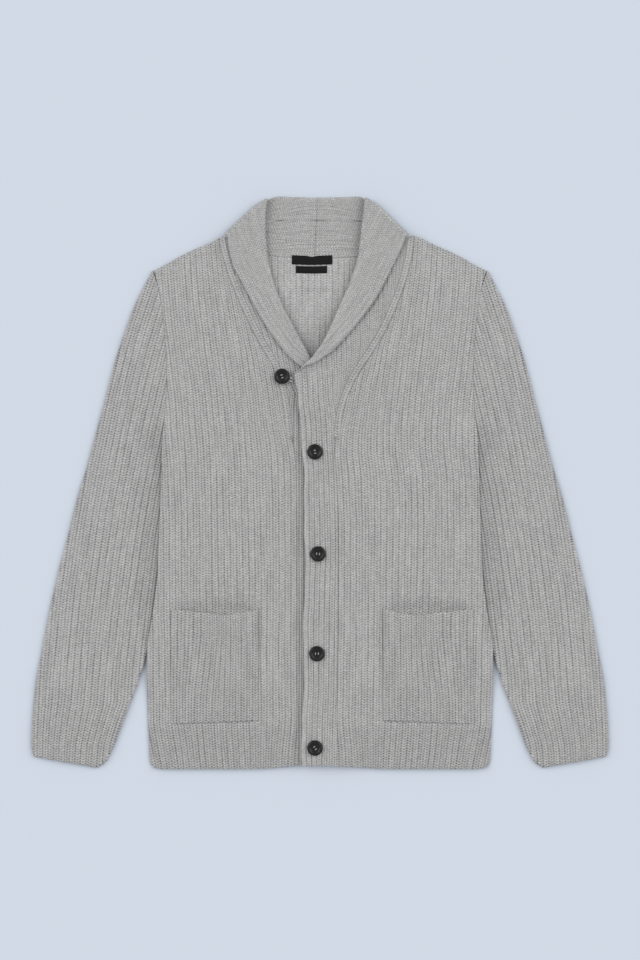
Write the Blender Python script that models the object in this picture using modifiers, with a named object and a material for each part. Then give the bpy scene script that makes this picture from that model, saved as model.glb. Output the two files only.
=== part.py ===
"""A shawl collar cardigan knitted in half cardigan rib, buttoned and laid flat on its back.

Lengths are in millimetres, and MM turns them into Blender's metres when a mesh is made.
+X is the wearer's left, +Y runs from the hem to the collar, and +Z points up from the surface
that the cardigan lies on. The origin is on that surface, under the middle of the outline.

Each knitted piece is a wall around a centre surface. A "level" is the height of that centre
surface: the back lies lowest, the wearer's right front on it, and the wearer's left front,
which laps over the right one at the button bands, lies highest.
"""

import math

import bmesh
import bpy
from mathutils import Vector

MM = 0.001

# Cloth
WALL = 2.4  # knit wall at the groove between two ribs
HALF_WALL = WALL / 2
RIB_HEIGHT = 1.3  # how far a rib stands above the grooves beside it
SEAM_GAP = 0.3  # between two pieces that are sewn together
ARMHOLE_GAP = 0.6
V_SEAM_GAP = 0.9
REST_GAP = 0.5  # between the layers along the outline, where they are sewn to each other
LAYER_STEP = 4.2  # centre to centre of two layers, with ribs between them
LOFT = 1.9  # more air under the middle of a front
LOFT_FROM_SIDE = (2.0, 46.0)  # distances from the side seam where the loft starts, and is full
LOFT_FROM_SHOULDER = (4.0, 60.0)

# Body
HEM_Y = -377.0
BAND_INSET = 26.0  # distance of the bands' seams from the middle at the hem
HEM_CENTRE_RISE = 4.0  # the hem is this much higher at the button bands
HEM_CORNER = 11.0  # corner radius at the side seams
V_START_Y = 82.0  # above this the fronts are shaped away from the button bands
FRONT_RIBS = 24
RIB_LEAN = 26.0  # how far the ribs next to the neck lean outwards on their way up
RIB_LEAN_STARTS = 60.0  # this far below the V
ABOVE_ALL = 330.0  # a height above every seam of the body
BACK_RIM_STEPS = 28  # pairs of columns along the back's hem and neck
# Heights of the panels' cross rows, closest where the layers below change height
ROW_HEIGHTS = (
    -377, -335, -298, -262, -222, -150, -75, -5, 42, 75, 104, 134, 165, 200, 234, 262, 290, 318)
# Distances of the plain faces' columns from the side seam, closest where they end along the V
COLUMN_INSETS = (0, 10, 20, 31, 43, 57, 73, 93, 111, 119, 126, 133, 142, 166)

RIM_STEP = 12.0  # greatest step between the points along a panel's rim

# Half width of the body by height: side seam from the hem up, then the armhole to the shoulder
BODY_SIDE = (  # (height, half width)
    (-377, 223.8), (-352, 225), (-300, 227), (-250, 228), (-214, 227), (-168, 219.5),
    (-129, 214.5), (-76, 212), (-23, 210), (30, 208.5), (69, 206.5), (100, 203.5),
    (127, 202), (165, 202.5), (201, 204.8), (241, 209.8), (262, 214), (279, 219),
)
# Height of the shoulder seam by distance from the middle
SHOULDER = (  # (half width, height)
    (110, 322), (122, 325), (132, 322), (145, 315.5), (157, 310.5), (171, 304.5), (185, 297.5),
    (204, 286.7), (219, 279),
)

# Button band and shawl collar, one knitted strip for each side
BAND_RIB = 6.7  # rib pitch of the strip
BAND_HALF_RIB = BAND_RIB / 2
COARSE = 4  # half ribs between the points of a plain face
ROLL = LAYER_STEP / 2  # radius of the roll where the collar folds over
QUARTER_ROLL = ROLL * math.pi / 2
NECK_LEVEL = HALF_WALL + LAYER_STEP  # the back at the neck seam, on top of the collar's fall
NECK_FRONT_GAP = 1.0  # between back and front layers at the neck
NECK_FRONT_LEVEL = NECK_LEVEL + WALL + NECK_FRONT_GAP
TURN_HEIGHT = (NECK_LEVEL + NECK_FRONT_LEVEL) / 2  # the flattened collar turns round this line
TURN_RADIUS = ROLL + (NECK_FRONT_LEVEL - NECK_LEVEL) / 2
CENTRE_BACK_X = -4.6
FALL_RAMP = (110.0, 4.0)  # distances below the fall's edge where the back starts to rise, and is up

# Lower part of the strip, which is flat: seam to the front, and free edge with buttons or buttonholes
LEFT_BAND = (  # (height, seam x, free edge x)
    (-373, 22, -24.5), (-330, 22.2, -23.8), (-280, 22.5, -22.4), (-220, 23, -21.6), (-155, 23.8, -21),
    (-95, 23.8, -20), (-50, 23.6, -20.4), (7, 21.8, -21.8), (47, 18.6, -24), (82, 20, -25.6), (112, 27.2, -28.8),
)
RIGHT_BAND = (
    (-373, -30, 13), (-280, -30, 13), (-180, -30, 13), (-80, -30, 13), (7, -31, 13),
    (47, -33.8, 13), (82, -37.4, 13), (100, -39.8, 13),
)
UNDER_BAND_SHOWS = 12.0  # width of the right band beside its seam that the left band leaves open
# Where the left front starts to lie on the right band, and does: x, and height
LAP = ((64, 24), (250, 190))
CROSSING = ((70, 28), (70, 108), (230, 178))  # the same on the right collar: x, height below and above
FLAT_SHARES = (0.66, 0.3)  # how flat the first two sections of the upper part still are
# Upper part, which folds over: seam, fold and free edge of each section, and how far round the
# neck's side it has turned, from 0 in front to 180 behind
LEFT_COLLAR = (  # (seam x, seam y, fold x, fold y, edge x, edge y, turn)
    (33.5, 127, -33, 138, -33, 138, 0),
    (39, 139, -22, 150.5, -21.5, 149, 0),
    (48.5, 155, -11, 161.5, -7, 156.5, 0),
    (56.5, 167, -2.5, 172.5, 4.5, 164, 0),
    (65.5, 181, 4.8, 183, 15, 171, 0),
    (75.6, 197.5, 13, 199.5, 27.5, 184, 0),
    (84.8, 215.5, 20.7, 217.4, 39, 197, 0),
    (91.3, 231, 28.5, 235, 52, 213, 0),
    (98, 248, 37, 254, 66, 231, 0),
    (104.8, 267, 44.5, 274, 79.5, 253, 0),
    (110.3, 287, 51, 295, 91.5, 277, 0),
    (112.8, 299, 54, 317, 100, 293.5, 0),
    (114.1, 308, 56.4, 340, 105.8, 305.5, 0),
    (114.9, 314.5, 58.5, 359, 110, 315, 0),
    (115.4, 320, 59.5, 372.3, 112, 321.4, 0),
    (115.4, 320, 59.5, 372.3, 112, 321.4, 45),
    (115.4, 320, 59.5, 372.3, 112, 321.4, 90),
    (115.4, 320, 59.5, 372.3, 112, 321.4, 135),
    (115.4, 320, 59.5, 372.3, 112, 321.4, 180),
    (107, 313.4, 52.5, 375.8, 107, 306, 180),
    (90, 304.9, 43, 375.4, 92, 285, 180),
    (67, 299.3, 32.5, 374.8, 68, 268.5, 180),
    (42, 297, 20, 374.5, 43, 259, 180),
    (18, 296, 7, 374.4, 18.5, 254.5, 180),
    (CENTRE_BACK_X + SEAM_GAP / 2, 295.6, CENTRE_BACK_X + SEAM_GAP / 2, 374.4,
     CENTRE_BACK_X + SEAM_GAP / 2, 253.5, 180),
)
RIGHT_COLLAR = (
    (-42, 114, 13, 118, 13, 118, 0),
    (-44.6, 127, 6.5, 129, 6, 127.5, 0),
    (-48.6, 141, -1, 141, -5.5, 134.5, 0),
    (-53.4, 153, -7.5, 153, -14, 142.5, 0),
    (-58.8, 164.5, -14, 164.3, -23, 150.5, 0),
    (-65, 175, -20, 175, -31.5, 157, 0),
    (-71.8, 186, -26.5, 186.5, -41, 165.5, 0),
    (-80, 201, -34.5, 201.5, -51.5, 178, 0),
    (-87.4, 216, -42.5, 217, -62, 192, 0),
    (-94.4, 231.5, -50.2, 231.7, -72, 207, 0),
    (-101.2, 247, -57, 247.5, -83, 225.5, 0),
    (-107.8, 263, -62.5, 263.5, -94, 246, 0),
    (-114.2, 280, -67, 281, -105, 267, 0),
    (-119, 296, -70.4, 300, -114, 285, 0),
    (-121.9, 307, -72.8, 329, -118.5, 302.5, 0),
    (-123.6, 315, -72.5, 353, -121, 314.5, 0),
    (-124.4, 320.8, -69.5, 371.2, -121.4, 322.2, 0),
    (-124.4, 320.8, -69.5, 371.2, -121.4, 322.2, 45),
    (-124.4, 320.8, -69.5, 371.2, -121.4, 322.2, 90),
    (-124.4, 320.8, -69.5, 371.2, -121.4, 322.2, 135),
    (-124.4, 320.8, -69.5, 371.2, -121.4, 322.2, 180),
    (-115.5, 313.9, -62.5, 374.6, -116, 306.5, 180),
    (-98, 305.3, -52.5, 375.8, -100, 286, 180),
    (-75, 299.8, -42, 375.2, -76, 269.5, 180),
    (-50, 297.3, -30, 374.6, -51, 260, 180),
    (-27, 296.1, -17, 374.4, -27.5, 255, 180),
    (CENTRE_BACK_X - SEAM_GAP / 2, 295.6, CENTRE_BACK_X - SEAM_GAP / 2, 374.4,
     CENTRE_BACK_X - SEAM_GAP / 2, 253.5, 180),
)

# Sleeve sections from the armhole to the cuff end, in the left sleeve's x
SLEEVE = (  # (outer x, outer y, inner x, inner y, armhole curve kept, gap between the layers)
    (222.0, 279, 207.3, 68, 1.0, 0.5),
    (232, 257, 208.2, 62, 0.35, 1.2),
    (248, 222, 207.4, 55, 0.15, 2.2),
    (268, 165, 205.0, 46, 0.05, 2.8),
    (285, 100, 202.2, 32, 0.0, 3.2),
    (304, 31, 197.5, 8, 0.0, 3.2),
    (321, -28, 195, -38, 0.0, 3.2),
    (337, -90, 198.5, -90, 0.0, 3.2),
    (352, -150, 209.5, -150, 0.0, 3.2),
    (363, -205, 223.5, -207, 0.0, 3.2),
    (373, -258, 240, -263, 0.0, 3.0),
    (378, -305, 260, -315, 0.0, 2.6),
    (380, -345, 279, -362, 0.0, 2.2),
    (376.5, -362, 295.5, -377, 0.0, 1.8),
)
# The line of one rib of the sleeve, and the rib pitch, by height
SLEEVE_RIB = (  # (height, x)
    (-378, 379), (-345, 380), (-305, 379.5), (-258, 377.5), (-205, 373.5), (-150, 367.5), (-90, 359.5),
    (-28, 349.5), (31, 338.5), (100, 324.5), (181, 305), (238, 288), (279, 274),
)
SLEEVE_RIB_PITCH = ((-378, 7.3), (-345, 7.6), (-290, 8.9), (-200, 9.2), (279, 9.0))
SLEEVE_TUCK_LIFT = 7.4  # the body's side lies this much higher where the sleeve is under it
SLEEVE_TUCK = (62.0, 8.0)  # distances from the side: not lifted, and lifted all the way
SLEEVE_TUCK_ENDS = ((94, 49), (-300, -222))  # the same for the heights above and below
SLEEVE_HEAD_NORMAL = (0.3, 0.95)  # direction out of the shoulder at the armhole's top
SLEEVE_STEPS = (40, 14)  # longest step across a sleeve on its inside, and on its outside

# Patch pockets
POCKET_RIBS = 14
POCKET_FOOT_Y = -315.5
POCKET_MOUTH_Y = -167.0
POCKET_MOUTH_SAG = 6.0
POCKET_MOUTH_BULGE = 2.0
RIGHT_POCKET = (-196.5, -80.5)
LEFT_POCKET = (82.5, 202.0)
POCKET_ROWS = (0, 0.35, 0.65, 0.87, 1)
POCKET_SEAT = HALF_WALL + RIB_HEIGHT + 0.7 + HALF_WALL  # above the front's level

# Buttons: 21 mm, four holes
BUTTON_RADIUS = 10.5
BUTTON_THICKNESS = 4.0
BUTTON_DISH_RADIUS = 7.2
BUTTON_DISH_DEPTH = 1.3
BUTTON_HOLE_RADIUS = 1.0
BUTTON_HOLE_OFFSET = 2.1
BAND_BUTTONS = ((-6.6, 40.3), (-2.6, -93.7), (-4.0, -225.0), (-6.6, -349.8))
TOP_BUTTON = (-50.2, 140.6)
SEAT_GAP = 0.3
LOOP_RADIUS = 0.9
LOOP_WIDTH = 5.6

# Woven labels on the inside of the back neck
LABEL_THICKNESS = 0.6
MAIN_LABEL = ((-37.2, 16.1), (287.2, 299.3))
SIZE_LABEL = ((-31.7, 9.2), (275.7, 285.2))


# Small maths

def smooth(start, end, value):
    """0 at start, 1 at end, with no corner at either."""
    t = min(1.0, max(0.0, (value - start) / (end - start)))
    return t * t * (3 - 2 * t)


def mix(a, b, t):
    return a + (b - a) * t


def read_curve(table, at):
    """Value at a place of a smooth curve through the table's (place, value) pairs."""
    last = len(table) - 1
    if at <= table[0][0]:
        return table[0][1]
    if at >= table[last][0]:
        return table[last][1]
    k = next(i for i in range(last) if at <= table[i + 1][0])

    def slope(i):
        low, high = max(0, i - 1), min(last, i + 1)
        return (table[high][1] - table[low][1]) / (table[high][0] - table[low][0])

    span = table[k + 1][0] - table[k][0]
    t = (at - table[k][0]) / span
    rise = table[k + 1][1] - table[k][1]
    start, end = slope(k) * span, slope(k + 1) * span
    return table[k][1] + t * (start + t * (3 * rise - 2 * start - end + t * (start + end - 2 * rise)))


def read_line(table, at):
    """Value at a place of the straight runs through the table's (place, value) pairs."""
    if at <= table[0][0]:
        return table[0][1]
    for (x0, y0), (x1, y1) in zip(table, table[1:]):
        if at <= x1:
            return mix(y0, y1, (at - x0) / (x1 - x0))
    return table[-1][1]


# Levels of the layers

def half_width(y):
    return read_curve(BODY_SIDE, y)


def shoulder_y(x):
    return read_curve(SHOULDER, abs(x))


def fall_edge_y(x):
    """Lower edge of the part of the collar that lies under the back."""
    return 253 + 69 * (abs(x - CENTRE_BACK_X) / 116) ** 2.4


def back_level(x, y):
    """The back lies on the surface, on the collar's fall at the neck and on the sleeves at its sides."""
    edge = fall_edge_y(x)
    on_fall = smooth(edge - FALL_RAMP[0], edge - FALL_RAMP[1], y)
    above, below = SLEEVE_TUCK_ENDS
    on_sleeve = smooth(*SLEEVE_TUCK, half_width(y) - abs(x)) * smooth(*above, y) * smooth(*below, y)
    return HALF_WALL + (NECK_LEVEL - HALF_WALL) * on_fall + SLEEVE_TUCK_LIFT * on_sleeve


def front_gap(x, y):
    """Air between the back and a front: least along the seams, most in the middle of a front."""
    side = smooth(*LOFT_FROM_SIDE, half_width(y) - abs(x))
    shoulder = smooth(*LOFT_FROM_SHOULDER, shoulder_y(x) - y)
    edge = fall_edge_y(x)
    neck = smooth(edge - 80, edge - 20, y)
    loft = LOFT * side * shoulder * (1 - neck)
    return REST_GAP + (NECK_FRONT_GAP - REST_GAP) * min(1.0, side + neck) + loft


def right_level(x, y):
    return back_level(x, y) + WALL + front_gap(x, y)


def left_level(x, y):
    """The left front lies on the right one at the bands, and on its collar at the foot of the V."""
    lap = smooth(*LAP[0], x) * smooth(*LAP[1], y)
    crossing = smooth(*CROSSING[0], x) * smooth(*CROSSING[1], y) * smooth(*CROSSING[2], y)
    return right_level(x, y) + LAYER_STEP * (lap + crossing)


# Meshes

SAME_MEASURE = 1e-6


def join_rows(bm, row_a, row_b):
    """Faces between two rows of (measure, vertex) pairs. The rows may differ in length."""
    i = j = 0
    while i + 1 < len(row_a) or j + 1 < len(row_b):
        next_a = row_a[i + 1][0] if i + 1 < len(row_a) else math.inf
        next_b = row_b[j + 1][0] if j + 1 < len(row_b) else math.inf
        if next_a < math.inf and abs(next_a - next_b) < SAME_MEASURE:
            bm.faces.new((row_a[i][1], row_a[i + 1][1], row_b[j + 1][1], row_b[j][1]))
            i, j = i + 1, j + 1
        elif next_a < next_b:
            bm.faces.new((row_a[i][1], row_a[i + 1][1], row_b[j][1]))
            i += 1
        else:
            bm.faces.new((row_a[i][1], row_b[j + 1][1], row_b[j][1]))
            j += 1


class Row:
    """One section of a wall, in runs of (measure, point).

    A run begins at the last point of the run before it, so its first point is given as None.
    A ring's last run returns to the first point, at the measure that closed_at gives.
    """

    def __init__(self, *runs, closed_at=None):
        self.runs, self.closed_at = runs, closed_at

    def place(self, bm):
        self.spans, vertex = [], None
        for run in self.runs:
            span = []
            for measure, point in run:
                vertex = bm.verts.new(point * MM) if point else vertex
                span.append((measure, vertex))
            self.spans.append(span)
        self.first, self.last = self.spans[0][0][1], vertex
        if self.closed_at:
            self.spans[-1].append((self.closed_at, self.first))


def join_sections(bm, section_a, section_b):
    for span_a, span_b in zip(section_a.spans, section_b.spans):
        join_rows(bm, span_a, span_b)


def wall_object(name, outer, inner, material):
    """A closed wall between its outer and inner rows, which are all open or all rings."""
    bm = bmesh.new()
    for section in [*outer, *inner]:
        section.place(bm)
    for face_rows in (outer, inner):
        for section_a, section_b in zip(face_rows, face_rows[1:]):
            join_sections(bm, section_a, section_b)
    join_sections(bm, outer[0], inner[0])
    join_sections(bm, outer[-1], inner[-1])
    if not outer[0].closed_at:
        for k in range(len(outer) - 1):
            corners = (outer[k], outer[k + 1], inner[k + 1], inner[k])
            bm.faces.new([section.first for section in corners])
            bm.faces.new([section.last for section in corners])
    bmesh.ops.recalc_face_normals(bm, faces=bm.faces)
    if bm.calc_volume(signed=True) < 0:
        bmesh.ops.reverse_faces(bm, faces=bm.faces)
    return mesh_object(name, bm, material)


def mesh_object(name, bm, material):
    mesh = bpy.data.meshes.new(name)
    bm.to_mesh(mesh)
    bm.free()
    mesh.shade_smooth()
    mesh.set_sharp_from_angle(angle=math.radians(50))
    mesh.materials.append(material)
    obj = bpy.data.objects.new(name, mesh)
    PARTS.objects.link(obj)
    return obj


def knit_panel(name, place, level, ribs, rows, columns, material, plain=False):
    """A flat panel with its ribs on the upper face, two columns to a rib.

    place(c, v) gives the x and y at c across the panel and v up it, each from 0 to 1. rows are the
    values of v, and columns those of c on a plain face, whose first and last rows follow the ribs.
    """
    rib_columns = [i / (2 * ribs) for i in range(2 * ribs + 1)]

    def rim_columns(v):
        """The ribs' columns, with one more wherever two of them end far apart."""
        found = [0.0]
        for a, b in zip(rib_columns, rib_columns[1:]):
            apart = (Vector(place(a, v)) - Vector(place(b, v))).length
            found += [(a + b) / 2, b] if apart > RIM_STEP else [b]
        return found

    def row(v, face):
        at_end = v in (rows[0], rows[-1])
        ribbed = face > 0 and not plain
        points = []
        for c in rim_columns(v) if at_end else rib_columns if ribbed else columns:
            x, y = place(c, v)
            crest = 1 - abs(2 * ribs * c % 2 - 1) if ribbed else 0
            points.append((c, Vector((x, y, level(x, y) + face * HALF_WALL + crest * RIB_HEIGHT))))
        return Row(points)

    return wall_object(name, [row(v, 1) for v in rows], [row(v, -1) for v in rows], material)


# Body

def hem_y(x, side_x):
    """Height of the hem: a little higher at the bands, and rounded at the side seams."""
    over = max(0.0, abs(x) - (side_x - HEM_CORNER))
    corner = HEM_CORNER - math.sqrt(max(0.0, HEM_CORNER**2 - over**2))
    return HEM_Y + HEM_CENTRE_RISE * smooth(90, 20, abs(x)) + corner


def first_above(function, low, high, step=2.0):
    """Lowest place between low and high where the function turns positive."""
    y = low
    while y < high and function(y) <= 0:
        y += step
    if y >= high:
        return high
    below, above = max(low, y - step), y
    for _ in range(30):
        middle = (below + above) / 2
        if function(middle) > 0:
            above = middle
        else:
            below = middle
    return above


def front_place(side, seam):
    """place(c, v) for a front: c runs from the band's seam to the side, v from the hem to the top.

    side is 1 for the wearer's left, and seam the band's (height, distance from the middle) line.
    """
    start = read_line(seam, V_START_Y)

    def lean(y):
        return RIB_LEAN * smooth(V_START_Y - RIB_LEAN_STARTS, ABOVE_ALL, y)

    def rib_start(y):
        if y <= V_START_Y:
            return read_line(seam, y) + SEAM_GAP
        return start + SEAM_GAP + lean(y) - lean(V_START_Y)

    def across(c, y):
        inner = rib_start(y)
        return inner + c * (half_width(y) - inner)

    def cut(y, c):
        """Positive above the seam of the band or of the shoulder."""
        x = across(c, y)
        beyond_band = read_line(seam, y) + V_SEAM_GAP - x if V_START_Y < y < seam[-1][0] else -1
        beyond_neck = (y - seam[-1][0]) - (x - seam[-1][1]) + 2 * SEAM_GAP
        return max(beyond_band, beyond_neck, y - shoulder_y(x))

    tops = {}

    def place(c, v):
        if c not in tops:
            tops[c] = first_above(lambda y: cut(y, c), V_START_Y, ABOVE_ALL)
        bottom = hem_y(across(c, HEM_Y), half_width(HEM_Y))
        y = mix(bottom, tops[c], v)
        return side * across(c, y), y

    return place


def back_place(neck):
    """place(c, v) for the back: c runs from its right side to its left, v from the hem to the top."""

    def top_y(x):
        if neck[0][0] < x < neck[-1][0]:
            return read_line(neck, x) - 2 * SEAM_GAP
        end_x, end_y = neck[0] if x < 0 else neck[-1]
        return min(shoulder_y(x), end_y + abs(x - end_x) - 2 * SEAM_GAP)

    def place(c, v):
        share = 2 * c - 1
        bottom = hem_y(share * half_width(HEM_Y), half_width(HEM_Y))
        top = first_above(lambda y: y - top_y(share * half_width(y)), V_START_Y, ABOVE_ALL)
        y = mix(bottom, top, v)
        return share * half_width(y), y

    return place


# Button bands and shawl collar

class Section:
    """One section across a band and collar strip, measured from its free edge.

    It rises from the seam as the stand, rolls over at the fold, and comes down as the fall. turn
    is how far the section has gone round the side of the neck, in degrees.
    """

    def __init__(self, seam, fold, edge, turn, level, outward):
        self.seam, self.fold = Vector(seam), Vector(fold)
        self.level, self.turn, self.flat = level, math.radians(turn), 0
        self.outward = Vector((*outward, 0))
        self.to_seam = (self.seam - self.fold).normalized()
        drop = Vector(edge) - self.fold
        self.to_edge = drop.normalized() if drop.length > 0.01 else self.to_seam
        self.fall = drop.length - ROLL + QUARTER_ROLL
        self.width = self.fall + (self.seam - self.fold).length - ROLL + QUARTER_ROLL

    def flatten(self, share):
        """Unrolls the section: 1 is flat to its free edge, 0 is rolled a half turn."""
        self.flat = share
        self.fold -= self.to_seam * ROLL * share
        self.fall = QUARTER_ROLL * (1 - 2 * share)
        self.width = self.fall + (self.seam - self.fold).length - ROLL + QUARTER_ROLL

    def at(self, measure):
        """Centre point, and normal to the face that is the right side on the band."""
        along = measure - self.fall
        angle = max(-math.pi / 2, min(math.pi / 2, along / ROLL))
        straight = max(0.0, abs(along) - QUARTER_ROLL)
        reach = ROLL * (1 - math.cos(angle)) + straight
        rise = -ROLL * math.sin(angle)
        towards = self.to_seam if along > 0 else self.to_edge
        plan = self.fold + towards * reach
        up = Vector((0, 0, math.cos(self.turn))) + self.outward * math.sin(self.turn)
        if self.turn > 0:
            centre = Vector((plan.x, plan.y, TURN_HEIGHT)) + up * (TURN_RADIUS + rise)
        else:
            centre = Vector((plan.x, plan.y, self.level(plan.x, plan.y) + ROLL + rise))
        normal = Vector((*towards, 0)) * math.cos(angle) + up * math.sin(angle)
        return centre, normal

    def ribbed(self, face, measure):
        """How far the ribs stand out here, from 0 to 1: only on what shows of each face."""
        from_fold = abs(measure - self.fall) - QUARTER_ROLL
        clear = mix(smooth(1, 5, from_fold), 1, self.flat)
        if face > 0:
            return clear if measure >= self.fall and self.turn == 0 else 0
        if measure < self.fall:
            return clear if self.turn < math.radians(50) else 0
        if not self.behind():
            return 0
        return clear * smooth(60, 50, abs(self.at(measure)[0].x)) * smooth(4, 10, self.width - measure)

    def behind(self):
        return self.turn > math.radians(170)

    def row(self, face, all_points=False):
        """The section's points on the band's right side (1) or on the other face (-1)."""
        first, last = max(0.0, self.fall - QUARTER_ROLL), self.fall + QUARTER_ROLL

        def point(m, crest=0):
            centre, normal = self.at(m)
            raised = RIB_HEIGHT * self.ribbed(face, m) if crest else 0
            return centre + normal * face * (HALF_WALL + raised)

        near = 0.4 * BAND_HALF_RIB
        fall, stand = [(0.0, point(0.0))], [(last, None)]
        for k in range(1, int(self.width / BAND_HALF_RIB) + 1):
            m = k * BAND_HALF_RIB
            if k % COARSE and not all_points and not (self.ribbed(face, m) > 0.02 and self.shows(face, m)):
                continue
            if m < first - near:
                fall.append((m, point(m, k % 2)))
            elif last + near < m < self.width - near:
                stand.append((m, point(m, k % 2)))
        roll = [(first, None)]
        if self.flat < 1:
            if first > 0:
                fall.append((first, point(first)))
            roll += [(mix(first, last, k / 4), point(mix(first, last, k / 4))) for k in range(1, 5)]
        stand.append((self.width, point(self.width)))
        return Row(fall, [(m - first, spot) for m, spot in roll], stand)

    def shows(self, face, measure):
        """Whether this place isn't well covered by the fall, or by the other band."""
        if self.flat > 0:
            return self.outward.x > 0 or self.width - measure < UNDER_BAND_SHOWS
        return face < 0 or measure - self.fall > 1.15 * self.fall


def band_sections(band, collar, level, side):
    """The strip's sections from the hem to the centre back."""
    turned = next(row for row in collar if row[-1] > 0)
    diagonal = Vector(turned[:2]) - Vector(turned[2:4])
    outward = Vector((-diagonal.y, diagonal.x)).normalized() * side
    sections = []
    for y, seam_x, edge_x in band:
        section = Section((seam_x, y), (edge_x, y), (edge_x, y), 0, level, outward)
        section.flatten(1)
        sections.append(section)
    for k, (sx, sy, fx, fy, ex, ey, turn) in enumerate(collar):
        section = Section((sx, sy), (fx, fy), (ex, ey), turn, level, outward)
        if k < len(FLAT_SHARES):
            section.flatten(FLAT_SHARES[k])
        sections.append(section)
    return sections


def collar_strip(name, sections, material):
    ends = (sections[0], sections[-1])
    outer = [section.row(1, section in ends) for section in sections]
    inner = [section.row(-1, section in ends) for section in sections]
    return wall_object(name, outer, inner, material)


# Sleeves

def edge_normals(points, side):
    """Unit normals in plan along a line of points, to its left (1) or right (-1)."""
    normals = []
    for k in range(len(points)):
        run = points[min(k + 1, len(points) - 1)] - points[max(k - 1, 0)]
        normals.append(Vector((-run.y, run.x)).normalized() * side)
    return normals


def sleeve(name, side, material):
    """A flattened tube. Its upper side is ribbed, and its lower side lies flat on the surface."""
    outer_line = [Vector(row[0:2]) for row in SLEEVE]
    inner_line = [Vector(row[2:4]) for row in SLEEVE]
    outer_normals, inner_normals = edge_normals(outer_line, 1), edge_normals(inner_line, -1)
    outer_normals[0] = Vector(SLEEVE_HEAD_NORMAL).normalized()
    radius = (WALL + REST_GAP) / 2
    inset = radius + HALF_WALL
    first = outer_line[0] - outer_normals[0] * inset
    last = inner_line[0] - inner_normals[0] * inset

    def rib_number(spot):
        return (read_curve(SLEEVE_RIB, spot.y) - spot.x) / read_line(SLEEVE_RIB_PITCH, spot.y)

    def section(k, face):
        keep, gap = SLEEVE[k][4:]
        start = outer_line[k] - outer_normals[k] * inset
        end = inner_line[k] - inner_normals[k] * inset

        def plan(share):
            """A place of the section's line, bowed as the armhole is."""
            y = mix(first.y, last.y, share)
            ends = smooth(0.12, 0, share) * (first.x - half_width(first.y) - ARMHOLE_GAP)
            ends += smooth(0.88, 1, share) * (last.x - half_width(last.y) - ARMHOLE_GAP)
            bow = half_width(y) + ARMHOLE_GAP + ends - mix(first.x, last.x, share)
            spot = start.lerp(end, share)
            return Vector((spot.x + bow * keep, spot.y))

        def point(spot, z, normal, raised=0):
            place = Vector((*spot, z)) + normal * (face * HALF_WALL + raised)
            return Vector((place.x * side, place.y, place.z))

        def upper(share):
            loft = (gap - REST_GAP) * smooth(0, 0.3, share) * smooth(1, 0.55, share)
            level = HALF_WALL + WALL + REST_GAP + loft
            crest = 1 - abs(2 * rib_number(plan(share)) % 2 - 1) if 0 < share < 1 and face > 0 else 0
            return point(plan(share), level, Vector((0, 0, 1)), RIB_HEIGHT * crest)

        def arc(share, outwards, angles):
            turned = []
            for i, angle in enumerate(angles, start=1):
                normal = Vector((*(outwards * math.cos(angle)), math.sin(angle)))
                spot = plan(share) + outwards * math.cos(angle) * radius
                turned.append((i / (len(angles) + 1), point(
                    spot, HALF_WALL + radius + math.sin(angle) * radius, normal)))
            return turned

        fine = face > 0 or k in (0, len(SLEEVE) - 1)
        numbers = [rib_number(plan(0)), rib_number(plan(1))]
        shares = [0.0]
        for half_rib in range(math.ceil(2 * numbers[0] + 0.4), math.ceil(2 * numbers[1] - 0.4)):
            if fine or half_rib % COARSE == 0:
                shares.append(share_at(lambda t: rib_number(plan(t)), half_rib / 2))
        shares.append(1.0)
        top = []
        for a, b in zip(shares, shares[1:]):
            steps = math.ceil((end - start).length * (b - a) / SLEEVE_STEPS[fine])
            top += [mix(a, b, i / steps) for i in range(steps)]
        top = [(rib_number(plan(share)), upper(share)) for share in [*top, 1.0]]
        angles = [math.pi / 4, 0, -math.pi / 4] if fine else [0]
        inner_arc = [(0, None), *arc(1, inner_normals[k], angles)]
        floor_shares = (1, 0.93, 0.85, 0.55, 0.25, 0.08, 0) if keep > 0 else (1, 0.5, 0)
        floor = [(1 - share, point(plan(share), HALF_WALL, Vector((0, 0, -1)))) for share in floor_shares]
        outer_arc = [(0, None), *arc(0, outer_normals[k], angles[::-1])]
        return Row(top, [*inner_arc, (1, floor[0][1])], [(0, None), *floor[1:]], outer_arc, closed_at=1)

    outer = [section(k, 1) for k in range(len(SLEEVE))]
    inner = [section(k, -1) for k in range(len(SLEEVE))]
    return wall_object(name, outer, inner, material)


def share_at(function, value):
    """Where a function that rises from 0 to 1 reaches a value."""
    low, high = 0.0, 1.0
    for _ in range(24):
        middle = (low + high) / 2
        if function(middle) < value:
            low = middle
        else:
            high = middle
    return low


# Trim

def pocket(name, x_range, level, material):
    inward = 1 if x_range[0] < 0 else 0  # the mouth sags most on the side next to the bands

    def place(c, v):
        x = mix(*x_range, c)
        towards_bands = c if inward else 1 - c
        sag = POCKET_MOUTH_SAG * math.sin(math.pi * towards_bands**1.6) * v**3
        return x, mix(POCKET_FOOT_Y, POCKET_MOUTH_Y - sag, v)

    def height(x, y):
        c = (x - x_range[0]) / (x_range[1] - x_range[0])
        v = (y - POCKET_FOOT_Y) / (POCKET_MOUTH_Y - POCKET_FOOT_Y)
        bulge = POCKET_MOUTH_BULGE * max(0.0, math.sin(math.pi * c)) * max(0.0, v) ** 2
        return level(x, y) + POCKET_SEAT + bulge

    columns = [i / 8 for i in range(9)]
    return knit_panel(name, place, height, POCKET_RIBS, POCKET_ROWS, columns, material)


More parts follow.
